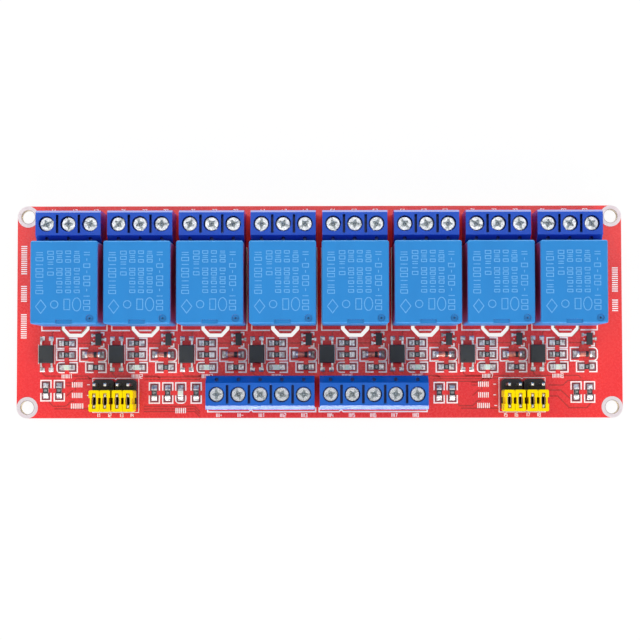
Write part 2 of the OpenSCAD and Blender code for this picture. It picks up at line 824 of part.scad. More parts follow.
// Two leads toward -X and one toward +X
module sot_lead_places() {
    $inward = 0;
    for (y = [-1, 1]) translate([-sot_w / 2, y * sot_pitch / 2, 0]) rotate(90) children();
    translate([sot_w / 2, 0, 0]) rotate(-90) children();
}

module transistor_leads() {
    color("silver") in_channels(sot_place) sot_lead_places()
        gull_lead(sot_reach, sot_foot, sot_exit, sot_lead_w);
}

// All chip resistors: three in each channel and the upright ones of the front row
module chip_places() {
    for (place = concat(series_places, [pull_place])) in_channels(place) children();
    for (p = front_chips) translate([p[0], p[1] - board_w / 2, board_t]) rotate(90) children();
}

module led_places() {
    in_channels(led_place) children();
    translate([input_left - power_led_gap, front_row - board_w / 2, board_t]) rotate(90) children();
}

// A pair of metal ends that a chip's body sits between
module metal_ends() {
    for (side = [0, 180]) rotate(side) translate([chip_l / 2 - chip_end, -chip_w / 2, 0])
        cube([chip_end, chip_w, chip_h]);
}

module resistors() {
    l = chip_l - 2 * chip_end;
    color([0.16, 0.17, 0.18]) chip_places() translate([-l / 2, -chip_w / 2, 0])
        cube([l, chip_w, chip_h - chip_end_rise]);
}

module resistor_ends() {
    color("silver") chip_places() metal_ends();
}

// Indicator: a flat carrier with a leaning-sided lens
module leds() {
    l = chip_l - 2 * chip_end;
    color("ivory") led_places() {
        along_y(chip_w) polygon([
            [-l / 2, 0], [l / 2, 0], [l / 2, chip_h], [led_lens_l / 2, chip_h],
            [led_lens_l / 2 - led_slope, led_h], [-led_lens_l / 2 + led_slope, led_h],
            [-led_lens_l / 2, chip_h], [-l / 2, chip_h]
        ]);
    }
}

module led_ends() {
    color("silver") led_places() metal_ends();
}

diode_r = diode_d / 2 + diode_cap_t;

module diodes() {
    l = diode_l - 2 * diode_cap_l;
    color("orangered") in_channels(diode_place) translate([-l / 2, 0, diode_r]) rotate([0, 90, 0])
        cylinder(d = diode_d, h = l);
}

module diode_caps() {
    color("silver") in_channels(diode_place) for (side = [0, 180]) rotate(side)
        translate([diode_l / 2 - diode_cap_l, 0, diode_r]) rotate([0, 90, 0])
            cylinder(r = diode_r, h = diode_cap_l);
}

// ---- Solder ----

// Solder that fills a drilled hole and rises round a pin under the board
module pin_joint(hole_d, pin_size) {
    tip_r = norm(pin_size) / 2 + cone_tip;
    difference() {
        union() {
            cylinder(d = hole_d, h = board_t);
            translate([0, 0, -cone_h]) cylinder(r1 = tip_r, r2 = hole_d / 2 + cone_w, h = cone_h);
        }
        cube([pin_size[0], pin_size[1], 3 * board_t], center = true);
    }
}

module pin_solder() {
    color("gainsboro") {
        for (c = [0 : channels - 1], p = relay_pin_places)
            translate([channel_x(c) + p[0], relay_y + p[1], 0])
                pin_joint(relay_hole_d, [relay_pin_w, relay_pin_t]);
        for (x = output_screw_xs) translate([x, output_y + strip_pin_y, 0])
            pin_joint(strip_hole_d, [strip_pin_w, strip_t]);
        for (x = input_screw_xs) translate([x, input_y - strip_pin_y, 0])
            pin_joint(strip_hole_d, [strip_pin_w, strip_t]);
        for (x = column_xs, y = row_ys) translate([x, y, 0])
            pin_joint(header_hole_d, [header_pin_t, header_pin_t]);
    }
}

// Sloping solder against both ends of a part of length l
module end_fillets(l, w, h) {
    for (side = [0, 180]) rotate(side) translate([l / 2, 0, 0]) along_y(w) polygon([
        [0, 0], [chip_solder, 0], [chip_solder, h * fillet_toe],
        [chip_solder * fillet_knee, h * fillet_belly], [0, h]
    ]);
}

module surface_solder() {
    color("gainsboro") {
        chip_places() end_fillets(chip_l, chip_w, chip_h * fillet_climb);
        led_places() end_fillets(chip_l, chip_w, chip_h * fillet_climb);
        in_channels(diode_place) end_fillets(diode_l, 2 * diode_r, diode_r);
        in_channels(opto_place) opto_lead_places()
            foot_fillet(opto_reach, opto_foot, opto_exit, opto_lead_w, opto_foot_side);
        in_channels(sot_place) sot_lead_places()
            foot_fillet(sot_reach, sot_foot, sot_exit, sot_lead_w, sot_foot_side);
    }
}

// ---- Assembly ----

board();
mounting_rings();
for (c = [0 : channels - 1]) {
    place = [channel_x(c), relay_y, board_t];
    translate(place) relay();
    output_terminal(c);
    optocoupler(c);
}
relay_pins();
for (b = [0 : len(input_xs) - 1])
    input_terminal(b);
output_screws();
input_screws();
wire_clamps();
contact_strips();
for (i = [0 : len(piece_xs) - 1])
    header(i);
header_pins();
for (c = [0 : len(column_xs) - 1])
    jumper_cap(c);
jumper_clips();
optocoupler_leads();
transistors();
transistor_leads();
resistors();
resistor_ends();
diodes();
diode_caps();
leds();
led_ends();
pin_solder();
surface_solder();
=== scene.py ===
import math
import bpy
from mathutils import Matrix, Vector


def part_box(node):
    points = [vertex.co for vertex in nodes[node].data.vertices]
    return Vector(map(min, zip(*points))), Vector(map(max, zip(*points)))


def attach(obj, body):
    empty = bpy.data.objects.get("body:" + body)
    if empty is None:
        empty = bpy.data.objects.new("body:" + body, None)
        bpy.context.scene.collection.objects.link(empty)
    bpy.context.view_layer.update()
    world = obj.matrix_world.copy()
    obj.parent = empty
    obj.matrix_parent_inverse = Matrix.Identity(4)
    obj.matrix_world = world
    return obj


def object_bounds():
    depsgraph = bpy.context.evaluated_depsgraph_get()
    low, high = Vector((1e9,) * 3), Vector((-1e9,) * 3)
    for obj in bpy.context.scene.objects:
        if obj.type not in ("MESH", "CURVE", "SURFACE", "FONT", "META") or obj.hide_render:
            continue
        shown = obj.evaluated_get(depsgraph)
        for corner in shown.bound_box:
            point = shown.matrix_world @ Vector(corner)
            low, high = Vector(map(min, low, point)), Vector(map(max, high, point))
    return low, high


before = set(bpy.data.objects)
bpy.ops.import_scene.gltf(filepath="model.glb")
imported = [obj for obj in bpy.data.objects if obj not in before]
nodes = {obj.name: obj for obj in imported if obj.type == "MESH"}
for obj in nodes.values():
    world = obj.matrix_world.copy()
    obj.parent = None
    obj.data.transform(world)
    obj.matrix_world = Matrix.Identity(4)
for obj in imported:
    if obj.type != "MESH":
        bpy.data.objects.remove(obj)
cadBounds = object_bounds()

mm = 0.001
channelCount = sum(name.removeprefix("relay_").isdigit() for name in nodes)
boardLow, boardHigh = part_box("board")
boardTop = boardHigh.z
lowestPoint = cadBounds[0].z
ringWidth = 0.94 * mm  # of the tinned rings round the holes
print("frame loaded,", len(nodes), "nodes,", channelCount, "channels")


# boxes of a node's separate solids, as (centre, size)
def partBoxes(name):
    mesh = nodes[name].data
    parent = {}
    keyOf = [tuple(round(c / mm, 3) for c in v.co) for v in mesh.vertices]

    def root(key):
        while parent.setdefault(key, key) != key:
            parent[key] = parent[parent[key]]
            key = parent[key]
        return key

    for face in mesh.polygons:
        keys = [keyOf[i] for i in face.vertices]
        for key in keys[1:]:
            parent[root(key)] = root(keys[0])
    groups = {}
    for key in set(keyOf):
        groups.setdefault(root(key), []).append(key)
    boxes = []
    for keys in groups.values():
        low = Vector([min(k[i] for k in keys) for i in range(3)])
        high = Vector([max(k[i] for k in keys) for i in range(3)])
        boxes.append(((low + high) / 2 * mm, (high - low) * mm))
    return sorted(boxes, key=lambda box: (round(box[0].x / mm, 1), round(box[0].y / mm, 1)))


def centresOf(name):
    return [box[0] for box in partBoxes(name)]


class Signal:
    # a socket that can stand in an expression; each operator adds its Math node
    def __init__(self, graph, socket):
        self.graph = graph
        self.socket = socket

    def __add__(self, other):
        return self.graph.maths("ADD", self, other)

    def __radd__(self, other):
        return self.graph.maths("ADD", other, self)

    def __sub__(self, other):
        return self.graph.maths("SUBTRACT", self, other)

    def __rsub__(self, other):
        return self.graph.maths("SUBTRACT", other, self)

    def __mul__(self, other):
        return self.graph.maths("MULTIPLY", self, other)

    def __rmul__(self, other):
        return self.graph.maths("MULTIPLY", other, self)

    def __abs__(self):
        return self.graph.maths("ABSOLUTE", self)

    def out(self, name):
        return Signal(self.graph, self.socket.node.outputs[name])


# a colour as a Mix node takes it; a signal passes through
def flat(colour):
    return colour if isinstance(colour, Signal) else (*colour, 1.0)


class Graph:
    # a shader tree of a material or of the sky; each node comes from one method
    def __init__(self, tree):
        self.tree = tree
        tree.nodes.clear()

    def node(self, kind, settings, inputs, output=0):
        made = self.tree.nodes.new(kind)
        for name, value in settings.items():
            setattr(made, name, value)
        for name, value in inputs.items():
            if isinstance(value, Signal):
                self.tree.links.new(value.socket, made.inputs[name])
            else:
                made.inputs[name].default_value = value
        return None if output is None else Signal(self, made.outputs[output])

    def maths(self, operation, first, second=0.0):
        return self.node("ShaderNodeMath", {"operation": operation}, {0: first, 1: second})

    def place(self, kind):
        return self.node("ShaderNodeTexCoord", {}, {}, kind)

    def axes(self, vector):
        parts = self.node("ShaderNodeSeparateXYZ", {}, {0: vector})
        return parts, parts.out("Y"), parts.out("Z")

    def ramped(self, value, low, high, start=0.0, end=1.0, way="SMOOTHSTEP"):
        return self.node("ShaderNodeMapRange", {"interpolation_type": way},
                         {"Value": value, "From Min": low, "From Max": high,
                          "To Min": start, "To Max": end})


paintKit = {
    "noiseRoughness": 0.55, "edgeSamples": 4, "openSamples": 6,
    # the sockets of a Mix node that hold its share, its two colours and its result
    "share": 0, "first": 6, "second": 7, "result": 2,
}


class Paint(Graph):
    # one material: a Principled shader with fixed values, fed by signals
    def __init__(self, name, colour, fixed):
        self.material = bpy.data.materials.new(name)
        self.material.use_nodes = True
        self.material.diffuse_color = flat(colour)
        super().__init__(self.material.node_tree)
        self.shader = self.node("ShaderNodeBsdfPrincipled", {}, {"Base Color": flat(colour), **fixed})

    # size is the width of the pattern's features, in millimetres
    def noise(self, size, detail=3.0, stretch=(1, 1, 1)):
        place = self.node("ShaderNodeVectorMath", {"operation": "MULTIPLY"},
                          {0: self.place("Object"), 1: stretch})
        return self.node("ShaderNodeTexNoise", {},
                         {"Vector": place, "Scale": 1 / (size * mm), "Detail": detail,
                          "Roughness": paintKit["noiseRoughness"]})

    # noise as a share: its size and detail, the span that counts, the least and the most
    def patches(self, size, detail, low, high, least, most):
        return self.ramped(self.noise(size, detail), low, high, least, most)

    def mixed(self, share, first, second):
        kit = paintKit
        return self.node("ShaderNodeMix", {"data_type": "RGBA"},
                         {kit["share"]: share, kit["first"]: flat(first), kit["second"]: flat(second)},
                         kit["result"])

    def softEdge(self, radius):
        return self.node("ShaderNodeBevel", {"samples": paintKit["edgeSamples"]}, {"Radius": radius * mm})

    # 1 in the open, 0 deep in a corner
    def openness(self, reach):
        return self.node("ShaderNodeAmbientOcclusion", {"samples": paintKit["openSamples"]},
                         {"Distance": reach * mm}, "AO")

    # height in millimetres of relief
    def relief(self, height, depth, under=None):
        inputs = {"Height": height, "Distance": depth * mm}
        if under is not None:
            inputs["Normal"] = under
        return self.node("ShaderNodeBump", {}, inputs)

    def show(self, surface):
        self.node("ShaderNodeOutputMaterial", {}, {"Surface": surface}, None)
        return self.material

    def feed(self, colour, gloss, bumps, coat=None):
        signals = {"Base Color": colour, "Roughness": gloss, "Normal": bumps, "Coat Weight": coat}
        for name, signal in signals.items():
            if signal is not None:
                self.tree.links.new(signal.socket, self.shader.socket.node.inputs[name])
        return self.show(self.shader)


# each moulding's second row holds painted shade: a dark colour for tops deep in corners and crevices, one
# for walls (on the relay a red standing in for bounce light from the board), and how far the painted
# shade reaches, in millimetres
mouldings = {
    "relay_blue": {
        "colour": (0.008, 0.205, 0.55), "deep": (0.004, 0.165, 0.47),
        "shadow": (0.0, 0.04, 0.16), "paintedWallShadeAndBounce": (0.40, 0.03, 0.15), "paintedShadeReach": 5.0,
        "roughness": 0.44, "uneven": 0.05, "specular": 0.45,
        "grain": 0.16, "depth": 0.006, "edge": 0.05,
    },
    "terminal_blue": {
        "colour": (0.006, 0.078, 0.52), "deep": (0.004, 0.058, 0.45),
        "shadow": (0.0, 0.04, 0.45), "paintedWallShadeAndBounce": (0.01, 0.010, 0.20), "paintedShadeReach": 3.0,
        "roughness": 0.22, "uneven": 0.02, "specular": 0.3,
        "grain": 0.22, "depth": 0.002, "edge": 0.08,
        "polish": {"Coat IOR": 4.0, "Coat Roughness": 0.12},  # of the rear chamfer
    },
    "terminal_bright_blue": {
        "colour": (0.0, 0.105, 0.52), "deep": (0.0, 0.078, 0.43),
        "shadow": (0.0, 0.05, 0.45), "paintedWallShadeAndBounce": (0.0, 0.03, 0.24), "paintedShadeReach": 3.0,
        "roughness": 0.22, "uneven": 0.004, "specular": 0.52,
        "grain": 0.22, "depth": 0.0004, "edge": 0.08,
    },
    "cap_yellow": {
        "colour": (0.98, 0.72, 0.0), "deep": (0.92, 0.60, 0.0),
        "shadow": (0.40, 0.13, 0.0), "paintedWallShadeAndBounce": (0.55, 0.20, 0.0), "paintedShadeReach": 0.8,
        "roughness": 0.36, "uneven": 0.05, "specular": 0.06,
        "grain": 0.20, "depth": 0.004, "edge": 0.08,
    },
    "header_black": {
        "colour": (0.026, 0.021, 0.022), "deep": (0.017, 0.014, 0.015),
        "shadow": (0.0, 0.0, 0.0), "paintedWallShadeAndBounce": (0.0, 0.0, 0.0), "paintedShadeReach": 1.0,
        "roughness": 0.46, "uneven": 0.05, "specular": 0.4,
        "grain": 0.14, "depth": 0.006, "edge": 0.06,
    },
    "moulded_black": {
        "colour": (0.036, 0.038, 0.039), "deep": (0.026, 0.027, 0.028),
        "shadow": (0.0, 0.0, 0.0), "paintedWallShadeAndBounce": (0.0, 0.0, 0.0), "paintedShadeReach": 0.6,
        "roughness": 0.58, "uneven": 0.05, "specular": 0.4,
        "grain": 0.08, "depth": 0.005, "edge": 0.04,
    },
}

# what all mouldings share; a span is (from, to) or (from, to, least, most)
mouldLook = {
    "flow": (6.0, 2.0, (1, 0.35, 1)), "grainDetail": 2.0,
    "flowShare": 0.7, "grainShare": 0.3, "shade": (0.38, 0.72, 0.0, 0.45),
    "clear": (0.05, 0.75), "top": (0.2, 0.6), "unevenSpan": (0.3, 0.7), "pits": (0.35, 0.65),
    "polishRear": (0.5, 0.7), "polishUp": (0.35, 0.5),
}


# spark-eroded mould texture, faint flow marks and rounded arrises; painted shade where the surface is
# closed in, and on walls painted shade tinted by painted bounce light
def moulding(name):
    look = mouldings[name]
    shared = mouldLook
    fixed = {"Specular IOR Level": look["specular"], **look.get("polish", {})}
    paint = Paint(name, look["colour"], fixed)
    flow = paint.noise(*shared["flow"])
    grain = paint.noise(look["grain"], shared["grainDetail"])
    shade = paint.ramped(flow * shared["flowShare"] + grain * shared["grainShare"], *shared["shade"])
    # painted shade: clear is how open the surface is, and where it is closed in the painted shade colour
    # takes over
    clear = paint.ramped(paint.openness(look["paintedShadeReach"]), *shared["clear"])
    rearward, up = paint.axes(paint.place("Normal"))[1:]
    wall = 1 - paint.ramped(up, *shared["top"])
    # the painted shade colour, one for tops and another, with painted bounce light, for walls
    dark = paint.mixed(wall, look["shadow"], look["paintedWallShadeAndBounce"])
    colour = paint.mixed(clear, dark, paint.mixed(shade, look["colour"], look["deep"]))
    gloss = look["roughness"] + paint.ramped(flow, *shared["unevenSpan"], -look["uneven"], look["uneven"])
    pits = paint.ramped(grain, *shared["pits"])
    bumps = paint.relief(pits, look["depth"], paint.softEdge(look["edge"]))
    coat = None
    if "polish" in look:
        coat = paint.ramped(rearward, *shared["polishRear"]) * paint.ramped(up, *shared["polishUp"])
    return paint.feed(colour, gloss, bumps, coat)


metals = {
    "tinned_lead": {"colour": (0.88, 0.86, 0.86), "dull": (0.24, 0.21, 0.21),
                    "roughness": 0.38, "grain": 0.14, "depth": 0.03, "edge": 0.03},
    "pin_metal": {"colour": (0.93, 0.91, 0.86), "dull": (0.78, 0.75, 0.68),
                  "roughness": 0.26, "grain": 0.3, "depth": 0.003, "edge": 0.04},
    "clamp_steel": {"colour": (0.70, 0.71, 0.73), "dull": (0.48, 0.49, 0.52),
                    "roughness": 0.32, "grain": 0.4, "depth": 0.006, "edge": 0.05},
    "clip_bronze": {"colour": (0.72, 0.52, 0.30), "dull": (0.46, 0.32, 0.18),
                    "roughness": 0.34, "grain": 0.3, "depth": 0.004, "edge": 0.04},
}

# what all plated metals share; sizes are in grains
plateLook = {
    "cloudSize": 4, "lineSize": 0.3, "lineForm": (1.0, (0.15, 1, 1)),
    "shade": (0.4, 0.75, 0.0, 0.8), "uneven": (0.3, 0.7, -0.08, 0.10),
}


# plated sheet and drawn wire: cloudy plating with fine drawing lines
def plated(name):
    look = metals[name]
    shared = plateLook
    paint = Paint(name, look["colour"], {"Metallic": 1.0})
    cloud = paint.noise(look["grain"] * shared["cloudSize"])
    lines = paint.noise(look["grain"] * shared["lineSize"], *shared["lineForm"])
    colour = paint.mixed(paint.ramped(cloud, *shared["shade"]), look["colour"], look["dull"])
    gloss = look["roughness"] + paint.ramped(cloud, *shared["uneven"])
    bumps = paint.relief(lines + cloud, look["depth"], paint.softEdge(look["edge"]))
    return paint.feed(colour, gloss, bumps)


ringLook = {
    "bright": (0.94, 0.85, 0.88), "dull": (0.84, 0.73, 0.77), "lip": (0.34, 0.25, 0.22),
    "lipWidth": 0.22, "lipShare": 0.8, "cloud": (2.0, 3.0, 0.4, 0.75, 0.0, 0.8),
    "roughness": 0.42, "cloudGloss": 0.12, "ripple": 0.5, "depth": 0.01,
}


# tinned ring, darker in a narrow band round the edge of the hole
def tinnedRing():
    look = ringLook
    paint = Paint("tinned_copper", look["bright"], {"Metallic": 1.0})
    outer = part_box("mounting_rings")[1]
    radius = partBoxes("mounting_rings")[0][1].x / 2
    across, along = paint.axes(paint.place("Object"))[:2]
    sideways = abs(across) - (outer.x - radius)
    lengthways = abs(along) - (outer.y - radius)
    distance = paint.maths("SQRT", sideways * sideways + lengthways * lengthways)
    hole = radius - ringWidth
    lip = 1 - paint.ramped(distance, hole, hole + look["lipWidth"] * mm)
    cloud = paint.patches(*look["cloud"])
    tin = paint.mixed(cloud, look["bright"], look["dull"])
    colour = paint.mixed(lip * look["lipShare"], tin, look["lip"])
    gloss = look["roughness"] + cloud * look["cloudGloss"]
    return paint.feed(colour, gloss, paint.relief(paint.noise(look["ripple"]), look["depth"]))


screwLook = {
    "zinc": (0.84, 0.87, 0.91), "passivated": (0.70, 0.74, 0.72),
    "stain": (1.6, 3.0, 0.45, 0.75, 0.0, 0.6),
    # painted shade in the driver recess, darker with depth, then a painted highlight at its bottom:
    # (depth it starts at, depth it is full at, colour)
    "recess": ((0.01, 0.12, (0.66, 0.71, 0.73)), (0.65, 0.85, (0.36, 0.41, 0.42)),
               (0.93, 1.1, (0.88, 0.92, 0.93))),
    "recessShare": 0.85, "roughness": 0.26, "uneven": (0.5, 3.0, 0.3, 0.7, -0.08, 0.14),
    "turning": (0.35, 2.0), "depth": 0.03, "edge": 0.12,
}


# zinc-plated head: turned face, and painted shade in the driver recess that grows with depth, with a
# painted highlight at its bottom
def screwZinc():
    look = screwLook
    paint = Paint("screw_steel", look["zinc"], {"Metallic": 1.0})
    up = paint.axes(paint.place("Object"))[2]
    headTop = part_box("output_screws")[1].z
    colour = paint.mixed(paint.patches(*look["stain"]), look["zinc"], look["passivated"])
    # painted shade and highlight, by depth below the head's top
    for start, full, tone in look["recess"]:
        share = paint.ramped(headTop - up, start * mm, full * mm, 0.0, look["recessShare"])
        colour = paint.mixed(share, colour, tone)
    gloss = look["roughness"] + paint.patches(*look["uneven"])
    bumps = paint.relief(paint.noise(*look["turning"]), look["depth"], paint.softEdge(look["edge"]))
    return paint.feed(colour, gloss, bumps)


solderLook = {
    "bright": (0.84, 0.82, 0.82), "oxide": (0.26, 0.24, 0.25), "flux": (0.26, 0.17, 0.13),
    "foot": (0.02, 0.12),  # the flux fades out between these heights over the board
    "fluxPatches": (0.5, 3.0, 0.40, 0.60, 0.0, 0.85), "oxidePatches": (0.7, 2.0, 0.42, 0.62, 0.0, 0.8),
    "roughness": 0.34, "uneven": (0.4, 3.0, 0.35, 0.7, 0.0, 0.22), "lumps": (0.35, 2.0), "depth": 0.12,
}


# wave and reflow solder: bright, lumpy, with flux left at its foot
def solderMetal():
    look = solderLook
    paint = Paint("solder", look["bright"], {"Metallic": 1.0})
    up = paint.axes(paint.place("Object"))[2]
    foot = 1 - paint.ramped(abs(up - boardTop), *[height * mm for height in look["foot"]])
    residue = foot * paint.patches(*look["fluxPatches"])
    metal = paint.mixed(paint.patches(*look["oxidePatches"]), look["bright"], look["oxide"])
    colour = paint.mixed(residue, metal, look["flux"])
    gloss = look["roughness"] + paint.patches(*look["uneven"])
    return paint.feed(colour, gloss, paint.relief(paint.noise(*look["lumps"]), look["depth"]))


boardLook = {
    "mask": (0.84, 0.026, 0.027), "shade": (0.74, 0.016, 0.026),
    "trace": (0.52, 0.020, 0.016), "traceShade": (0.40, 0.012, 0.012),
    "margin": (0.22, 0.036, 0.048), "marginShade": (0.13, 0.025, 0.034),
    "closed": (1.0, 0.0, 0.012),  # painted light: between the relays the mask is painted a brighter, purer red
    "core": (0.80, 0.74, 0.55), "coreLine": (0.55, 0.46, 0.28),
    "weave": 0.85,  # pitch of the glass cloth
    "ply": 0.2,  # thickness of one ply in the edge
    "reach": 9.0,  # how far walls may stand and still close a place in
    "drift": (14.0, 2.0), "driftShare": 0.9, "clothShare": 0.1, "shadeSpan": (0.40, 0.66, 0.0, 0.5),
    "closedSpan": (0.15, 0.5), "wallSpan": (0.3, 0.7), "wander": 1.2, "wanderShare": 2.0,
    "fibres": (0.12, 2.0, (0.2, 0.2, 1)), "plyShare": 0.35, "lineSpan": (0.35, 0.9),
    "roughness": 0.26, "dullGloss": 0.45, "uneven": (0.6, 3.0, 0.3, 0.7, -0.04, 0.06),
    "coat": 0.35, "coatRoughness": 0.12,
    "clothRise": 0.04, "waves": (1.4, 2.0), "waveRise": 0.16, "depth": 0.02,
}


# red solder mask over glass cloth, painted a brighter red where walls close it in; the cut edges and
# slots show the pale core
def boardLaminate(name, light, dark):
    look = boardLook
    turn = 2 * math.pi / mm
    paint = Paint(name, light, {"Coat Roughness": look["coatRoughness"]})
    along, across, up = paint.axes(paint.place("Object"))
    warp = paint.maths("SINE", along * (turn / look["weave"]))
    weft = paint.maths("SINE", across * (turn / look["weave"]))
    cloth = warp * weft * 0.5 + 0.5
    drift = paint.noise(*look["drift"])
    shade = paint.ramped(drift * look["driftShare"] + cloth * look["clothShare"], *look["shadeSpan"])
    # painted light: closed-in places are painted a brighter, purer red
    closed = 1 - paint.ramped(paint.openness(look["reach"]), *look["closedSpan"])
    mask = paint.mixed(closed, paint.mixed(shade, light, dark), look["closed"])
    wall = 1 - paint.ramped(abs(paint.axes(paint.place("Normal"))[2]), *look["wallSpan"])
    wander = paint.noise(look["wander"]) * look["wanderShare"]
    plies = paint.maths("SINE", up * (turn / look["ply"]) + wander)
    fibres = paint.noise(*look["fibres"])
    lines = paint.ramped(plies * look["plyShare"] + fibres, *look["lineSpan"])
    colour = paint.mixed(wall, mask, paint.mixed(lines, look["core"], look["coreLine"]))
    dull = paint.maths("MAXIMUM", wall, closed)
    gloss = look["roughness"] + dull * look["dullGloss"] + paint.patches(*look["uneven"])
    waves = paint.noise(*look["waves"]) * look["waveRise"]
    bumps = paint.relief(cloth * look["clothRise"] + waves + wall * fibres, look["depth"])
    return paint.feed(colour, gloss, bumps, (1 - dull) * look["coat"])


printLook = {
    "silk_white": {"ink": (1.0, 0.92, 0.89), "thin": (0.97, 0.74, 0.72), "roughness": 0.55},
    "relay_print": {"ink": (0.12, 0.37, 0.70), "thin": (0.05, 0.27, 0.61), "roughness": 0.50},
    "code_print": {"ink": (0.62, 0.63, 0.62), "thin": (0.30, 0.30, 0.30), "roughness": 0.55},
}

# what all inks share
inkLook = {
    "ior": 1.45, "thin": (0.35, 3.0, 0.42, 0.72, 0.0, 0.75), "thinGloss": 0.15,
    "grain": 0.15, "depth": 0.004,
}


# screen and pad printing: the ink is thin in places
def ink(name):
    look = printLook[name]
    shared = inkLook
    paint = Paint(name, look["ink"], {"IOR": shared["ior"]})
    thin = paint.patches(*shared["thin"])
    colour = paint.mixed(thin, look["ink"], look["thin"])
    gloss = look["roughness"] + thin * shared["thinGloss"]
    return paint.feed(colour, gloss, paint.relief(paint.noise(shared["grain"]), shared["depth"]))


chipLook = {
    "glaze": (0.028, 0.029, 0.032), "glazeWorn": (0.07, 0.07, 0.075), "ceramic": (0.72, 0.71, 0.68),
    "top": (0.5, 0.8), "worn": (0.3, 3.0, 0.5, 0.75, 0.0, 0.7),
    "roughness": 0.6, "topGloss": 0.35, "wornGloss": 0.15, "grain": 0.2, "depth": 0.006,
}


# thick-film resistor: dark glaze on top of a white ceramic slab
def resistorBody():
    look = chipLook
    paint = Paint("resistor_black", look["glaze"], {})
    top = paint.ramped(paint.axes(paint.place("Normal"))[2], *look["top"])
    worn = paint.patches(*look["worn"])
    colour = paint.mixed(top, look["ceramic"], paint.mixed(worn, look["glaze"], look["glazeWorn"]))
    gloss = look["roughness"] - top * look["topGloss"] + worn * look["wornGloss"]
    return paint.feed(colour, gloss, paint.relief(paint.noise(look["grain"]), look["depth"]))


glassLook = {
    "glass": (0.72, 0.20, 0.13), "core": (0.24, 0.05, 0.04), "cloud": (0.8, 2.0, 0.4, 0.68, 0.0, 0.8),
    "fixed": {"IOR": 1.52, "Coat Weight": 0.8, "Coat Roughness": 0.05},
    "roughness": 0.10, "uneven": (0.3, 3.0, 0.3, 0.7, 0.0, 0.08), "ripple": 0.9, "depth": 0.01,
}


# small glass diode: tinted glass with the dark stud showing through
def diodeGlass():
    look = glassLook
    paint = Paint("diode_glass", look["glass"], look["fixed"])
    colour = paint.mixed(paint.patches(*look["cloud"]), look["glass"], look["core"])
    gloss = look["roughness"] + paint.patches(*look["uneven"])
    return paint.feed(colour, gloss, paint.relief(paint.noise(look["ripple"]), look["depth"]))


lensLook = {
    "milk": (0.80, 0.88, 0.78), "deep": (0.58, 0.74, 0.52), "cloud": (0.5, 2.0, 0.42, 0.7, 0.0, 0.8),
    "fixed": {"Coat Weight": 0.5, "Coat Roughness": 0.08, "Subsurface Weight": 0.25,
              "Subsurface Scale": 0.4 * mm},
    "roughness": 0.22, "cloudGloss": 0.1, "ripple": 0.25, "depth": 0.006,
}


# indicator lens: milky resin over the pale green filling
def ledLens():
    look = lensLook
    paint = Paint("led_lens", look["milk"], look["fixed"])
    cloud = paint.patches(*look["cloud"])
    colour = paint.mixed(cloud, look["milk"], look["deep"])
    gloss = look["roughness"] + cloud * look["cloudGloss"]
    return paint.feed(colour, gloss, paint.relief(paint.noise(look["ripple"]), look["depth"]))


finishes = {name: moulding(name) for name in mouldings}
finishes.update({name: plated(name) for name in metals})
finishes["tinned_copper"] = tinnedRing()
finishes["screw_steel"] = screwZinc()
finishes["solder"] = solderMetal()
for coating, light, dark in (("solder_mask_red", "mask", "shade"), ("trace_mask", "trace", "traceShade"),
                             ("pad_margin", "margin", "marginShade")):
    finishes[coating] = boardLaminate(coating, boardLook[light], boardLook[dark])
finishes["resistor_black"] = resistorBody()
finishes["diode_glass"] = diodeGlass()
finishes["led_lens"] = ledLens()
finishes.update({name: ink(name) for name in printLook})
print("finishes made,", len(finishes))

# which finish each CAD node wears, by the start of its name
nodeFinish = {
    "board": "solder_mask_red", "mounting_rings": "tinned_copper", "relay_pins": "tinned_lead",
    "relay_": "relay_blue", "output_terminal": "terminal_blue", "input_terminal": "terminal_bright_blue",
    "output_screws": "screw_steel", "input_screws": "screw_steel", "wire_clamps": "clamp_steel",
    "contact_strips": "tinned_lead", "header_pins": "pin_metal", "header_": "header_black",
    "jumper_cap": "cap_yellow", "jumper_clips": "clip_bronze", "optocoupler_leads": "tinned_lead",
    "optocoupler_": "moulded_black", "transistor_leads": "tinned_lead", "transistors": "moulded_black",
    "resistor_ends": "tinned_lead", "resistors": "resistor_black", "diode_caps": "tinned_lead",
    "diodes": "diode_glass", "led_ends": "tinned_lead", "leds": "led_lens",
    "pin_solder": "solder", "surface_solder": "solder",
}


def dressNodes():
    for name, piece in nodes.items():
        match = max((start for start in nodeFinish if name.startswith(start)), key=len)
        if not piece.material_slots:
            piece.data.materials.append(None)
        for slot in piece.material_slots:
            slot.material = finishes[nodeFinish[match]]


dressNodes()
print("nodes dressed")


# a mesh of its own, fixed to the board, that wears a finish
def addPiece(name, points, faces, finish):
    mesh = bpy.data.meshes.new(name)
    mesh.from_pydata(points, [], faces)
    mesh.validate()
    mesh.update()
    made = bpy.data.objects.new(name, mesh)
    bpy.context.scene.collection.objects.link(made)
    mesh.materials.append(finishes[finish])
    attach(made, "root")


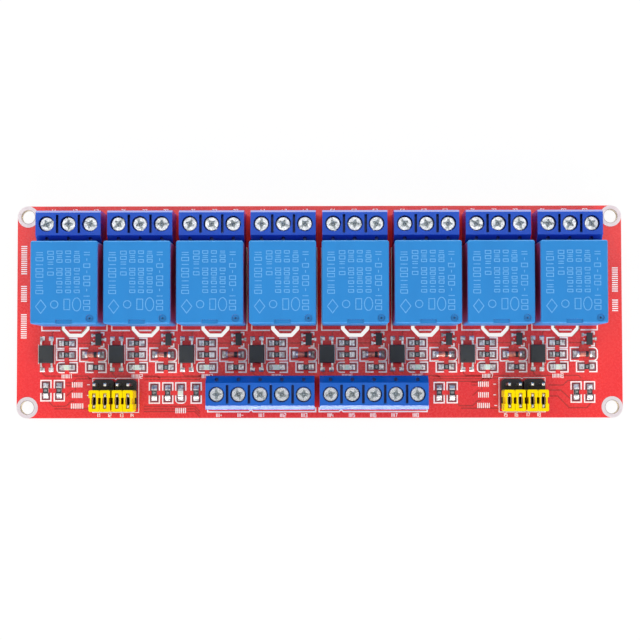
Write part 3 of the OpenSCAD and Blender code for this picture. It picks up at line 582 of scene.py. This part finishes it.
class Sheet:
    # gathers closed prisms that stand on one level, thick in millimetres, into one mesh
    def __init__(self, low, thick):
        self.low = low
        self.high = low + thick * mm
        self.points = []
        self.faces = []

    # a closed solid between two matching outlines
    def slab(self, outline):
        first = len(self.points)
        count = len(outline)
        self.points += [(x, y, self.low) for x, y in outline]
        self.points += [(x, y, self.high) for x, y in outline]
        self.faces.append([first + i for i in reversed(range(count))])
        self.faces.append([first + count + i for i in range(count)])
        for i in range(count):
            j = (i + 1) % count
            self.faces.append([first + i, first + j, first + count + j, first + count + i])

    # a line of even width with mitred corners
    def line(self, path, width, loop=False):
        left, right = sidesOf([Vector(p) for p in path], width / 2, loop)
        first = len(self.points)
        for a, b in zip(left, right):
            self.points += [(a.x, a.y, self.low), (b.x, b.y, self.low),
                            (b.x, b.y, self.high), (a.x, a.y, self.high)]
        count = len(left)
        for i in range(count if loop else count - 1):
            a = first + 4 * i
            b = first + 4 * ((i + 1) % count)
            for k in range(4):
                n = (k + 1) % 4
                self.faces.append([a + k, a + n, b + n, b + k])
        if not loop:
            self.faces.append([first + 3, first + 2, first + 1, first])
            self.faces.append([first + 4 * (count - 1) + k for k in range(4)])

    def piece(self, name, finish, slot):
        addPiece(name, self.points, self.faces, finish)


mitreLimit = 0.4  # sharper corners than this are cut short


def sidesOf(path, half, loop):
    left = []
    right = []
    count = len(path)
    for i, here in enumerate(path):
        before = path[i - 1] if i > 0 or loop else None
        after = path[(i + 1) % count] if i < count - 1 or loop else None
        into = (here - before).normalized() if before is not None else (after - here).normalized()
        away = (after - here).normalized() if after is not None else into
        bisector = (into + away).normalized()
        across = Vector((-bisector.y, bisector.x))
        reach = half / max(mitreLimit, across.dot(Vector((-into.y, into.x))))
        left.append(here + across * reach)
        right.append(here - across * reach)
    return left, right


def arc(centre, radius, start, end, steps):
    points = []
    for i in range(steps + 1):
        angle = math.radians(start + (end - start) * i / steps)
        points.append((centre[0] + radius * math.cos(angle), centre[1] + radius * math.sin(angle)))
    return points


def polygon(centre, radius, sides, first=0):
    return arc(centre, radius, first, first + 360 - 360 / sides, sides - 1)


# moves points given in millimetres to a place, turned a quarter when upright
def placed(points, centre, upright=False, flip=False):
    made = []
    for x, y in points:
        if flip:
            x, y = -x, -y
        if upright:
            x, y = -y, x
        made.append((centre[0] + x * mm, centre[1] + y * mm))
    return made


relayBoxes = [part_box(f"relay_{c + 1}") for c in range(channelCount)]
channelXs = [(low.x + high.x) / 2 for low, high in relayBoxes]
relayFront = relayBoxes[0][0].y
relayTop = relayBoxes[0][1].z
blockBoxes = [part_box(name) for name in ("input_terminal_1", "input_terminal_2")]
outputBoxes = [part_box(f"output_terminal_{c + 1}") for c in range(channelCount)]
inputPoles = len(partBoxes("input_screws")) // len(blockBoxes)
outputPoles = len(partBoxes("output_screws")) // len(outputBoxes)
resistors = centresOf("resistors")
resistorEnds = centresOf("resistor_ends")
leds = centresOf("leds")
ledEnds = centresOf("led_ends")
diodes = centresOf("diodes")
transistors = centresOf("transistors")
print("parts found:", len(resistors), "resistors,", len(leds), "indicators,",
      len(diodes), "diodes,", len(transistors), "transistors")


def standsUpright(centre, ends):
    step = min(ends, key=lambda end: (end - centre).length) - centre
    return abs(step.y) > abs(step.x)


# strokes on a 2 by 4 field
digitStrokes = {
    "0": [[(0, 0), (2, 0), (2, 4), (0, 4), (0, 0)]],
    "1": [[(0.4, 3.2), (1.1, 4), (1.1, 0)]],
    "2": [[(0, 4), (2, 4), (2, 2), (0, 2), (0, 0), (2, 0)]],
    "3": [[(0, 4), (2, 4), (2, 0), (0, 0)], [(0.4, 2), (2, 2)]],
    "4": [[(0, 4), (0, 1.8), (2, 1.8)], [(1.6, 3), (1.6, 0)]],
    "5": [[(2, 4), (0, 4), (0, 2.2), (2, 2.2), (2, 0), (0, 0)]],
    "6": [[(2, 4), (0, 4), (0, 0), (2, 0), (2, 2.2), (0, 2.2)]],
    "7": [[(0, 4), (2, 4), (0.8, 0)]],
    "8": [[(0, 0), (2, 0), (2, 4), (0, 4), (0, 0)], [(0, 2), (2, 2)]],
    "+": [[(0, 2), (2, 2)], [(1, 3), (1, 1)]],
    "-": [[(0, 2), (2, 2)]],
}


# a mark's strokes with the middle of its field at x, in units of the given size
def strokesOf(mark, x, wide, tall):
    return [[(x + (px - 1) * wide, (py - 2) * tall) for px, py in path]
            for path in digitStrokes.get(mark, [])]


lettering = {
    "rows": 4,  # units in a mark's height
    "step": 0.72, "barStep": 0.36,  # in heights
    "barRoom": 2.1, "barHalf": 0.6,  # in strokes
}


# a mark is a digit, a sign, "|" for a plain bar or " " for a space
def writeMarks(sheet, text, centre, height, stroke, upright=False):
    look = lettering
    barStep = max(stroke * look["barRoom"], height * look["barStep"])
    unit = height / look["rows"]
    steps = [barStep if mark == "|" else height * look["step"] for mark in text]
    x = -sum(steps) / 2
    for mark, step in zip(text, steps):
        x += step / 2
        if mark == "|":
            half = stroke * look["barHalf"]
            corners = [(x - half, -height / 2), (x + half, -height / 2),
                       (x + half, height / 2), (x - half, height / 2)]
            sheet.slab(placed(corners, centre, upright))
        for path in strokesOf(mark, x, unit, unit):
            sheet.line(placed(path, centre, upright), stroke * mm)
        x += step / 2


legend = {
    "line": 0.3,  # width of an outline
    "thick": 0.02,  # height of the ink
    "roundSteps": 5,  # in a rounded corner
    "chip": (4.85, 2.4), "chipGap": 1.15,
    "ledRound": 0.9,
    "diode": (6.45, 3.2), "diodeGap": 2.4, "diodeRound": 1.0,
    "relaySide": 7.8, "relayLine": 1.0, "relayRise": 0.3,
    "slotBreak": 3.6, "slotInner": 1.5, "slotShift": 0.2,
    "optoSides": (-0.22, 0.09), "optoReach": 0.2, "optoLine": 0.16,
    "bracket": [(0.45, 1.65), (1.2, 1.65), (1.2, 0.95)],
    "dotShift": 1.2, "dot": 0.16, "dotSides": 12,
    "headerGap": 0.28, "headerLine": 0.16, "headerTick": 0.3,
    "blockLine": 0.65, "blockTick": 0.5, "blockSide": 0.2, "blockRise": 0.4,
    "blockSeams": (2, 1),  # the tick stands after this many poles
}


def halfBox(size, gap, radius=0.0):
    length, width = size
    if radius == 0:
        return [(-gap / 2, -width / 2), (-length / 2, -width / 2),
                (-length / 2, width / 2), (-gap / 2, width / 2)]
    steps = legend["roundSteps"]
    lower = arc((-length / 2 + radius, -width / 2 + radius), radius, 270, 180, steps)
    upper = arc((-length / 2 + radius, width / 2 - radius), radius, 180, 90, steps)
    return [(-gap / 2, -width / 2)] + lower + upper + [(-gap / 2, width / 2)]


def chipOutlines(sheet):
    look = legend
    line = look["line"] * mm
    square = halfBox(look["chip"], look["chipGap"])
    rounded = halfBox(look["chip"], look["chipGap"], look["ledRound"])
    for centre in resistors:
        upright = standsUpright(centre, resistorEnds)
        sheet.line(placed(square, centre, upright), line)
        sheet.line(placed(square, centre, upright, True), line)
    for centre in leds:
        upright = standsUpright(centre, ledEnds)
        sheet.line(placed(rounded, centre, upright), line)
        sheet.line(placed(square, centre, upright, True), line)
    wide = halfBox(look["diode"], look["diodeGap"])
    wideRound = halfBox(look["diode"], look["diodeGap"], look["diodeRound"])
    for centre in diodes:
        sheet.line(placed(wide, centre), line)
        sheet.line(placed(wideRound, centre, False, True), line)


def packageOutlines(sheet):
    look = legend
    line = look["line"] * mm
    for centre in transistors:
        sheet.line(placed(look["bracket"], centre), line)
        sheet.line(placed([(x, -y) for x, y in look["bracket"]], centre), line)
        dot = (centre.x - look["dotShift"] * mm, centre.y)
        sheet.slab(polygon(dot, look["dot"] * mm, look["dotSides"]))
    for c in range(channelCount):
        low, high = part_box(f"optocoupler_{c + 1}")
        reach = look["optoReach"] * mm
        for edge, shift in zip((low.x, high.x), look["optoSides"]):
            x = edge + shift * mm
            sheet.line([(x, low.y - reach), (x, high.y + reach)], look["optoLine"] * mm)


def relayOutlines(sheet):
    look = legend
    line = look["line"] * mm
    for low, high in relayBoxes:
        middle = (low.x + high.x) / 2
        y = low.y - look["relayLine"] * mm
        slot = middle + look["slotShift"] * mm
        for side in (-1, 1):
            x = middle + side * look["relaySide"] * mm
            inner = slot + side * look["slotBreak"] * mm
            sheet.line([(x, high.y - look["relayRise"] * mm), (x, y), (inner, y)], line)
        sheet.line([(slot - look["slotInner"] * mm, y), (slot + look["slotInner"] * mm, y)], line)


def connectorOutlines(sheet):
    look = legend
    line = look["line"] * mm
    gap = look["headerGap"] * mm
    for first, last in (("header_1", "header_2"), ("header_3", "header_4")):
        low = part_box(first)[0]
        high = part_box(last)[1]
        seam = (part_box(first)[1].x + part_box(last)[0].x) / 2
        tick = look["headerTick"] * mm
        top = high.y + gap
        sheet.line([(low.x - gap, low.y - gap), (high.x + gap, low.y - gap), (high.x + gap, top),
                    (seam + tick, top), (seam, top - tick), (seam - tick, top), (low.x - gap, top)],
                   look["headerLine"] * mm, True)
    for (low, high), pole in zip(blockBoxes, look["blockSeams"]):
        y = low.y - look["blockLine"] * mm
        seam = low.x + (high.x - low.x) * pole / inputPoles
        tick = look["blockTick"] * mm
        left = low.x - look["blockSide"] * mm
        right = high.x + look["blockSide"] * mm
        rise = low.y + look["blockRise"] * mm
        sheet.line([(left, rise), (left, y), (seam - tick, y), (seam, y + tick), (seam + tick, y),
                    (right, y), (right, rise)], line)


def makeLegend():
    sheet = Sheet(boardTop, legend["thick"])
    chipOutlines(sheet)
    packageOutlines(sheet)
    relayOutlines(sheet)
    connectorOutlines(sheet)
    sheet.piece("legend_outlines", "silk_white", "solder_mask_red")


makeLegend()
print("legend outlines made")

marks = {
    "small": 0.95, "cap": 0.8, "pole": 0.85, "smallStroke": 0.15,
    "large": 1.25, "largeStroke": 0.2,
    "edge": 1.4, "edgeStroke": 0.21,
    "ledDrop": 2.1,  # below an indicator's centre
    "powerDrop": 4.2,  # below the upright indicator's centre
    "capDrop": 0.94,  # below the header
    "inputDrop": 1.48,  # below the input blocks
    "outputRise": 0.85,  # above the output blocks
    "rowSide": 3.1,  # left of the headers
    "rows": ("|||||||", "||||||", "||||||"),
    "leftWords": [(14, 12.5), (8, 4.4), (12, -3.4)],
    "rightWords": [(12, 7.6), (6, 1.4)],
    "edgeInset": 1.6,
}


def makeMarks():
    look = marks
    sheet = Sheet(boardTop, legend["thick"])
    rowLeds = [centre for centre in leds if not standsUpright(centre, ledEnds)]
    for i, centre in enumerate(rowLeds):
        place = (centre.x, centre.y - look["ledDrop"] * mm)
        writeMarks(sheet, f"||||||{i + 1}", place, look["small"], look["smallStroke"])
    for centre in leds:
        if centre not in rowLeds:
            place = (centre.x, centre.y - look["powerDrop"] * mm)
            writeMarks(sheet, "||||||", place, look["large"], look["largeStroke"])
    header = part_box("header_1")[0]
    for c in range(channelCount):
        low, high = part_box(f"jumper_cap_{c + 1}")
        place = ((low.x + high.x) / 2, header.y - look["capDrop"] * mm)
        writeMarks(sheet, f"|{c + 1}", place, look["cap"], look["smallStroke"])
    for b, (low, high) in enumerate(blockBoxes):
        for p in range(inputPoles):
            x = low.x + (high.x - low.x) * (p + 0.5) / inputPoles
            number = b * inputPoles + p - 1
            text = "|||" + ("+-"[number + 1] if number < 1 else str(number))
            place = (x, low.y - look["inputDrop"] * mm)
            writeMarks(sheet, text, place, look["pole"], look["smallStroke"])
    for c, (low, high) in enumerate(outputBoxes):
        for p in range(outputPoles):
            x = low.x + (high.x - low.x) * (p + 0.5) / outputPoles
            place = (x, high.y + look["outputRise"] * mm)
            writeMarks(sheet, f"{c + 1}{p + 1}", place, look["pole"], look["smallStroke"])
    for first in ("header_1", "header_3"):
        low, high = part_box(first)
        pitch = (high.y - low.y) / len(look["rows"])
        for row, text in enumerate(look["rows"]):
            place = (low.x - look["rowSide"] * mm, low.y + pitch * (row + 0.5))
            writeMarks(sheet, text + " -", place, look["large"], look["largeStroke"])
    for words, x in ((look["leftWords"], boardLow.x + look["edgeInset"] * mm),
                     (look["rightWords"], boardHigh.x - look["edgeInset"] * mm)):
        for count, y in words:
            writeMarks(sheet, "|" * count, (x, y * mm), look["edge"], look["edgeStroke"], True)
    sheet.piece("legend_marks", "silk_white", "solder_mask_red")


makeMarks()
print("legend marks made")

relayMarks = {
    "stroke": 0.2, "thick": 0.012, "fill": 0.6, "spread": 0.7,
    # columns: (x from the left edge, width, from below the rear edge, pitch, marks)
    "columns": [(2.15, 1.6, 2.4, 1.26, "=o|oo|=o"), (4.7, 1.3, 2.2, 1.2, "oo=|o"),
                (6.75, 1.2, 2.2, 1.0, "o=o oo|o|o"), (8.75, 1.15, 2.2, 1.0, "o|o oo=o|o"),
                (10.75, 1.15, 2.2, 1.0, "=oo o|oo|o"), (13.05, 1.4, 2.3, 1.4, "=-o-oo-|oo")],
    # outlines of (x, below the rear edge, half width, half length, sides, first angle)
    "outlines": [(2.5, 15.2, 1.2, 1.55, 4, 0), (5.6, 14.7, 0.85, 0.85, 20, 0),
                 (8.5, 14.7, 0.95, 1.7, 4, 45), (10.75, 14.7, 0.95, 1.5, 24, 0)],
}


# abstract marks that run along the relay: o is a field, | a bar, = two bars, - a short bar
def printMark(mark, wide, tall):
    across = wide / 2
    along = tall / 2
    spread = along * relayMarks["spread"]
    if mark == "o":
        return [[(-across, -along), (across, -along), (across, along), (-across, along),
                 (-across, -along)]]
    if mark == "|":
        return [[(-across, 0), (across, 0)]]
    if mark == "=":
        return [[(-across, -spread), (across, -spread)], [(-across, spread), (across, spread)]]
    if mark == "-":
        return [[(0, -spread), (0, spread)]]
    return []


def makeRelayPrint():
    look = relayMarks
    stroke = look["stroke"] * mm
    sheet = Sheet(relayTop, look["thick"])
    for low, high in relayBoxes:
        for x, width, start, pitch, text in look["columns"]:
            for k, mark in enumerate(text):
                centre = (low.x + x * mm, high.y - (start + pitch * (k + 0.5)) * mm)
                for path in printMark(mark, width, pitch * look["fill"]):
                    sheet.line(placed(path, centre), stroke)
        for x, y, halfWidth, halfLength, sides, first in look["outlines"]:
            loop = [(halfWidth * px, halfLength * py) for px, py in polygon((0, 0), 1, sides, first)]
            sheet.line(placed(loop, (low.x + x * mm, high.y - y * mm)), stroke, True)
    sheet.piece("relay_print", "relay_print", "relay_blue")


makeRelayPrint()
print("relay print made")

codeLook = {"height": 0.62, "narrow": 0.42, "pitch": 0.232, "stroke": 0.054, "thick": 0.01,
            "codes": ("102", "102", "103")}


def makeChipCodes():
    look = codeLook
    sheet = Sheet(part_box("resistors")[1].z, look["thick"])
    tall = look["height"] / lettering["rows"]
    wide = tall * look["narrow"]
    for i, centre in enumerate(resistors):
        upright = standsUpright(centre, resistorEnds)
        code = look["codes"][i % len(look["codes"])]
        for k, digit in enumerate(code):
            for path in strokesOf(digit, (k - 1) * look["pitch"], wide, tall):
                sheet.line(placed(path, centre, upright), look["stroke"] * mm)
    sheet.piece("chip_codes", "code_print", "resistor_black")


makeChipCodes()

bandLook = {"from": 0.28, "to": 1.0, "thick": 0.012, "sides": 32}


def makeDiodeBands():
    look = bandLook
    points = []
    faces = []
    sides = look["sides"]
    inner = (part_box("diodes")[1].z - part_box("diodes")[0].z) / 2
    outer = inner + look["thick"] * mm
    for centre in diodes:
        first = len(points)
        section = [(look["from"], inner), (look["from"], outer), (look["to"], outer), (look["to"], inner)]
        for x, radius in section:
            for i in range(sides):
                angle = 2 * math.pi * i / sides
                points.append((centre.x + x * mm, centre.y + radius * math.cos(angle),
                               centre.z + radius * math.sin(angle)))
        for k in range(len(section)):
            for i in range(sides):
                j = (i + 1) % sides
                n = (k + 1) % len(section)
                faces.append([first + k * sides + i, first + k * sides + j,
                              first + n * sides + j, first + n * sides + i])
    addPiece("diode_bands", points, faces, "header_black")


makeDiodeBands()
print("small print made")

copper = {
    "fine": 0.3, "thick": 0.018, "runPitch": 0.62,
    "heavy": 2.6, "under": 0.035,
    "stripInset": 0.3,  # how far a route runs in under its contact strip
    "rearRow": 10,  # relay pins further back than this are the rear ones
    "rearRise": 1.2, "frontRise": 4, "coilWidth": 0.5, "coilInset": 1.2,
    "coilDrops": (2, 3.2, 10.5),  # below the relay's front edge
}

# dark patches at each end of a part: (from its middle, to, width)
margins = {"thick": 0.022, "chip": (0.45, 2.2, 2.0), "diode": (1.2, 2.95, 2.3)}

# routes in each channel, from its x and the relay's front edge
channelRoutes = [
    [(0.0, -4.05), (4.3, -4.05)],
    [(0.35, -6.85), (0.9, -7.4), (0.9, -9.3), (0.35, -9.85)],
    [(3.1, -5.4), (3.9, -4.6), (3.9, -0.2)],
    [(7.35, -5.2), (7.35, -3.9)],
    [(-7.5, -10.6), (-7.5, -11.3), (-6.9, -11.9), (3.2, -11.9), (3.9, -12.6)],
    [(6.9, -9.85), (7.6, -9.15), (7.6, -7.2)],
    [(-5.3, -3.0), (-5.3, -1.6), (-4.9, -1.2)],
]

# routes beside each pair of headers, from the pair's left front corner
headerRoutes = [
    [(-6.9, 6.8), (-5.0, 6.8), (-4.1, 7.75), (-0.1, 7.75)],
    [(-6.8, 6.1), (-4.9, 6.1), (-4.4, 5.6), (-4.4, 4.9)],
    [(-6.6, 3.6), (-5.2, 4.9), (-4.9, 4.9)],
    [(-10.8, 2.4), (-9.7, 1.2), (-6.6, 1.2), (-5.4, 2.4), (-4.6, 2.4)],
    [(-9.4, 0.6), (-0.4, 0.6)],
]

# routes from the right pair of headers to the last two chips, from the same corner
endRoutes = [
    [(11.6, 3.5), (13.7, 3.5), (16.4, 0.7), (20.6, 0.7), (22.0, 2.1)],
    [(11.6, 4.9), (14.5, 4.9), (16.6, 2.9)],
    [(11.6, 6.1), (15.0, 6.1), (16.2, 7.2), (21.4, 7.2), (22.0, 6.6)],
]

# parallel runs along the front, (x from, x to, y, how many, drop at the end)
frontRuns = [(-42.0, -28.6, -22.6, 3, 1.2), (27.2, 41.4, -15.5, 3, -1.4), (-41.8, -27.6, -15.6, 2, -1.2)]


def makeTopCopper():
    look = copper
    sheet = Sheet(boardTop, look["thick"])
    fine = look["fine"] * mm
    for x in channelXs:
        for route in channelRoutes:
            sheet.line(placed(route, (x, relayFront)), fine)
    for name, routes in (("header_1", headerRoutes), ("header_3", headerRoutes + endRoutes)):
        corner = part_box(name)[0]
        for route in routes:
            sheet.line(placed(route, corner), fine)
    for x0, x1, y, count, drop in frontRuns:
        for k in range(count):
            runY = y - k * look["runPitch"]
            run = [(x0, runY), (x1 - abs(drop), runY), (x1, runY - drop)]
            sheet.line(placed(run, (0, 0)), fine)
    sheet.piece("top_copper", "trace_mask", "solder_mask_red")


makeTopCopper()


# a dark patch on the board at each end of a part
def makePadMargins():
    look = margins
    sheet = Sheet(boardTop, look["thick"])
    for centres, ends, (inner, outer, width) in ((resistors, resistorEnds, look["chip"]),
                                                 (leds, ledEnds, look["chip"]),
                                                 (diodes, centresOf("diode_caps"), look["diode"])):
        for centre in centres:
            for side in (1, -1):
                corners = [(side * inner, -side * width / 2), (side * outer, -side * width / 2),
                           (side * outer, side * width / 2), (side * inner, side * width / 2)]
                sheet.slab(placed(corners, centre, standsUpright(centre, ends)))
    sheet.piece("pad_margins", "pad_margin", "solder_mask_red")


makePadMargins()


def makeUnderCopper():
    look = copper
    sheet = Sheet(-look["under"] * mm, look["under"])
    heavy = look["heavy"] * mm
    inset = look["coilInset"] * mm
    bend, inward, end = [drop * mm for drop in look["coilDrops"]]
    pins = centresOf("relay_pins")
    strips = [box for box in partBoxes("contact_strips") if box[0].y > 0]
    stripY = min(box[0].y - box[1].y / 2 for box in strips) + look["stripInset"] * mm
    for x, (low, high) in zip(channelXs, relayBoxes):
        mine = sorted([pin for pin in pins if low.x < pin.x < high.x], key=lambda p: p.x)
        stripXs = sorted(box[0].x for box in strips if low.x < box[0].x < high.x)
        rear = [pin for pin in mine if pin.y > low.y + look["rearRow"] * mm]
        front = min(mine, key=lambda pin: abs(pin.x - x))
        for pin, stripX, rise in ((rear[0], stripXs[0], look["rearRise"]),
                                  (rear[-1], stripXs[2], look["rearRise"]),
                                  (front, stripXs[1], look["frontRise"])):
            sheet.line([(pin.x, pin.y), (pin.x, pin.y + rise * mm), (stripX, stripY)], heavy)
        for pin in mine:
            if pin not in rear and pin is not front:
                inside = pin.x - (inset if pin.x > x else -inset)
                sheet.line([(pin.x, pin.y), (pin.x, low.y - bend), (inside, low.y - inward),
                            (inside, low.y - end)], look["coilWidth"] * mm)
    sheet.piece("under_copper", "trace_mask", "solder_mask_red")


makeUnderCopper()
print("copper made")

studio = {
    "floorSize": 6.0, "floorShade": 0.95, "floorRoughness": 0.9,
    "cleanShare": 0.9,  # how far the floor shows pure white to the camera
    "horizon": 0.79, "zenith": 0.475, "rearDim": 0.45,
    "focal": 1552.6, "imageWidth": 640, "filmWidth": 36.0,
    "cameraPlace": (1.722, -17.076, 372.96),
    "cameraTurn": (-0.04058, -0.00426, 0.0015),
    # name: (place, size, radiance), aimed at the middle of the board
    "lamps": {
        "left_box": ((-0.46, 0.16, 0.40), (0.26, 0.20), 3.0),
        "right_box": ((0.46, 0.12, 0.40), (0.26, 0.20), 2.6),
        "front_box": ((0.10, -0.42, 0.42), (0.30, 0.14), 3.0),
        "top_box": ((0.0, 0.115, 0.75), (0.66, 0.13), 1.3),
        "front_strip": ((0.0, -0.445, 0.167), (0.60, 0.03), 33.0),
        "rear_strip": ((0.0, 0.458, 0.126), (0.60, 0.03), 40.0),
    },
}


def makeFloor():
    look = studio
    half = look["floorSize"] / 2
    mesh = bpy.data.meshes.new("floor")
    corners = [(-half, -half, lowestPoint), (half, -half, lowestPoint),
               (half, half, lowestPoint), (-half, half, lowestPoint)]
    mesh.from_pydata(corners, [], [[0, 1, 2, 3]])
    floor = bpy.data.objects.new("floor", mesh)
    bpy.context.scene.collection.objects.link(floor)
    shade = look["floorShade"]
    paint = Paint("floor_white", (shade, shade, shade), {"Roughness": look["floorRoughness"]})
    rays = paint.node("ShaderNodeLightPath", {}, {}, "Is Camera Ray")
    seen = paint.maths("MAXIMUM", paint.maths("MAXIMUM", rays, rays.out("Is Glossy Ray")),
                       rays.out("Is Transmission Ray"))
    glow = paint.node("ShaderNodeEmission", {}, {"Color": (1, 1, 1, 1), "Strength": 1.0})
    both = paint.node("ShaderNodeMixShader", {}, {0: seen * look["cleanShare"], 1: paint.shader, 2: glow})
    mesh.materials.append(paint.show(both))


# the sky is brightest at the horizon, so flat tops keep their own colour
def makeSky():
    look = studio
    world = bpy.data.worlds.new("studio")
    bpy.context.scene.world = world
    world.use_nodes = True
    graph = Graph(world.node_tree)
    rearward, up = graph.axes(graph.place("Generated"))[1:]
    climb = graph.ramped(up, 0.0, 1.0, look["horizon"], look["zenith"], "LINEAR")
    strength = climb * (1 - rearward * look["rearDim"])
    sky = graph.node("ShaderNodeBackground", {}, {"Color": (1, 1, 1, 1), "Strength": strength})
    graph.node("ShaderNodeOutputWorld", {}, {"Surface": sky}, None)


def makeLamps():
    for name, (place, size, radiance) in studio["lamps"].items():
        lamp = bpy.data.lights.new(name, "AREA")
        lamp.shape = "RECTANGLE"
        lamp.size = size[0]
        lamp.size_y = size[1]
        lamp.energy = radiance * math.pi * size[0] * size[1]
        made = bpy.data.objects.new(name, lamp)
        bpy.context.scene.collection.objects.link(made)
        made.location = place
        made.rotation_euler = (-Vector(place)).to_track_quat("-Z", "Y").to_euler()


def makeCamera():
    look = studio
    camera = bpy.data.cameras.new("camera")
    camera.sensor_width = look["filmWidth"]
    camera.lens = look["focal"] * look["filmWidth"] / look["imageWidth"]
    made = bpy.data.objects.new("camera", camera)
    bpy.context.scene.collection.objects.link(made)
    tilt, lean, roll = look["cameraTurn"]
    toCamera = (Matrix.Rotation(tilt, 3, "X") @ Matrix.Rotation(lean, 3, "Y")
                @ Matrix.Rotation(roll, 3, "Z"))
    made.matrix_world = (Matrix.Translation(Vector(look["cameraPlace"]) * mm)
                         @ toCamera.transposed().to_4x4())
    bpy.context.scene.camera = made


makeFloor()
makeSky()
makeLamps()
makeCamera()
bpy.context.scene.view_settings.view_transform = "Standard"
print("studio made")
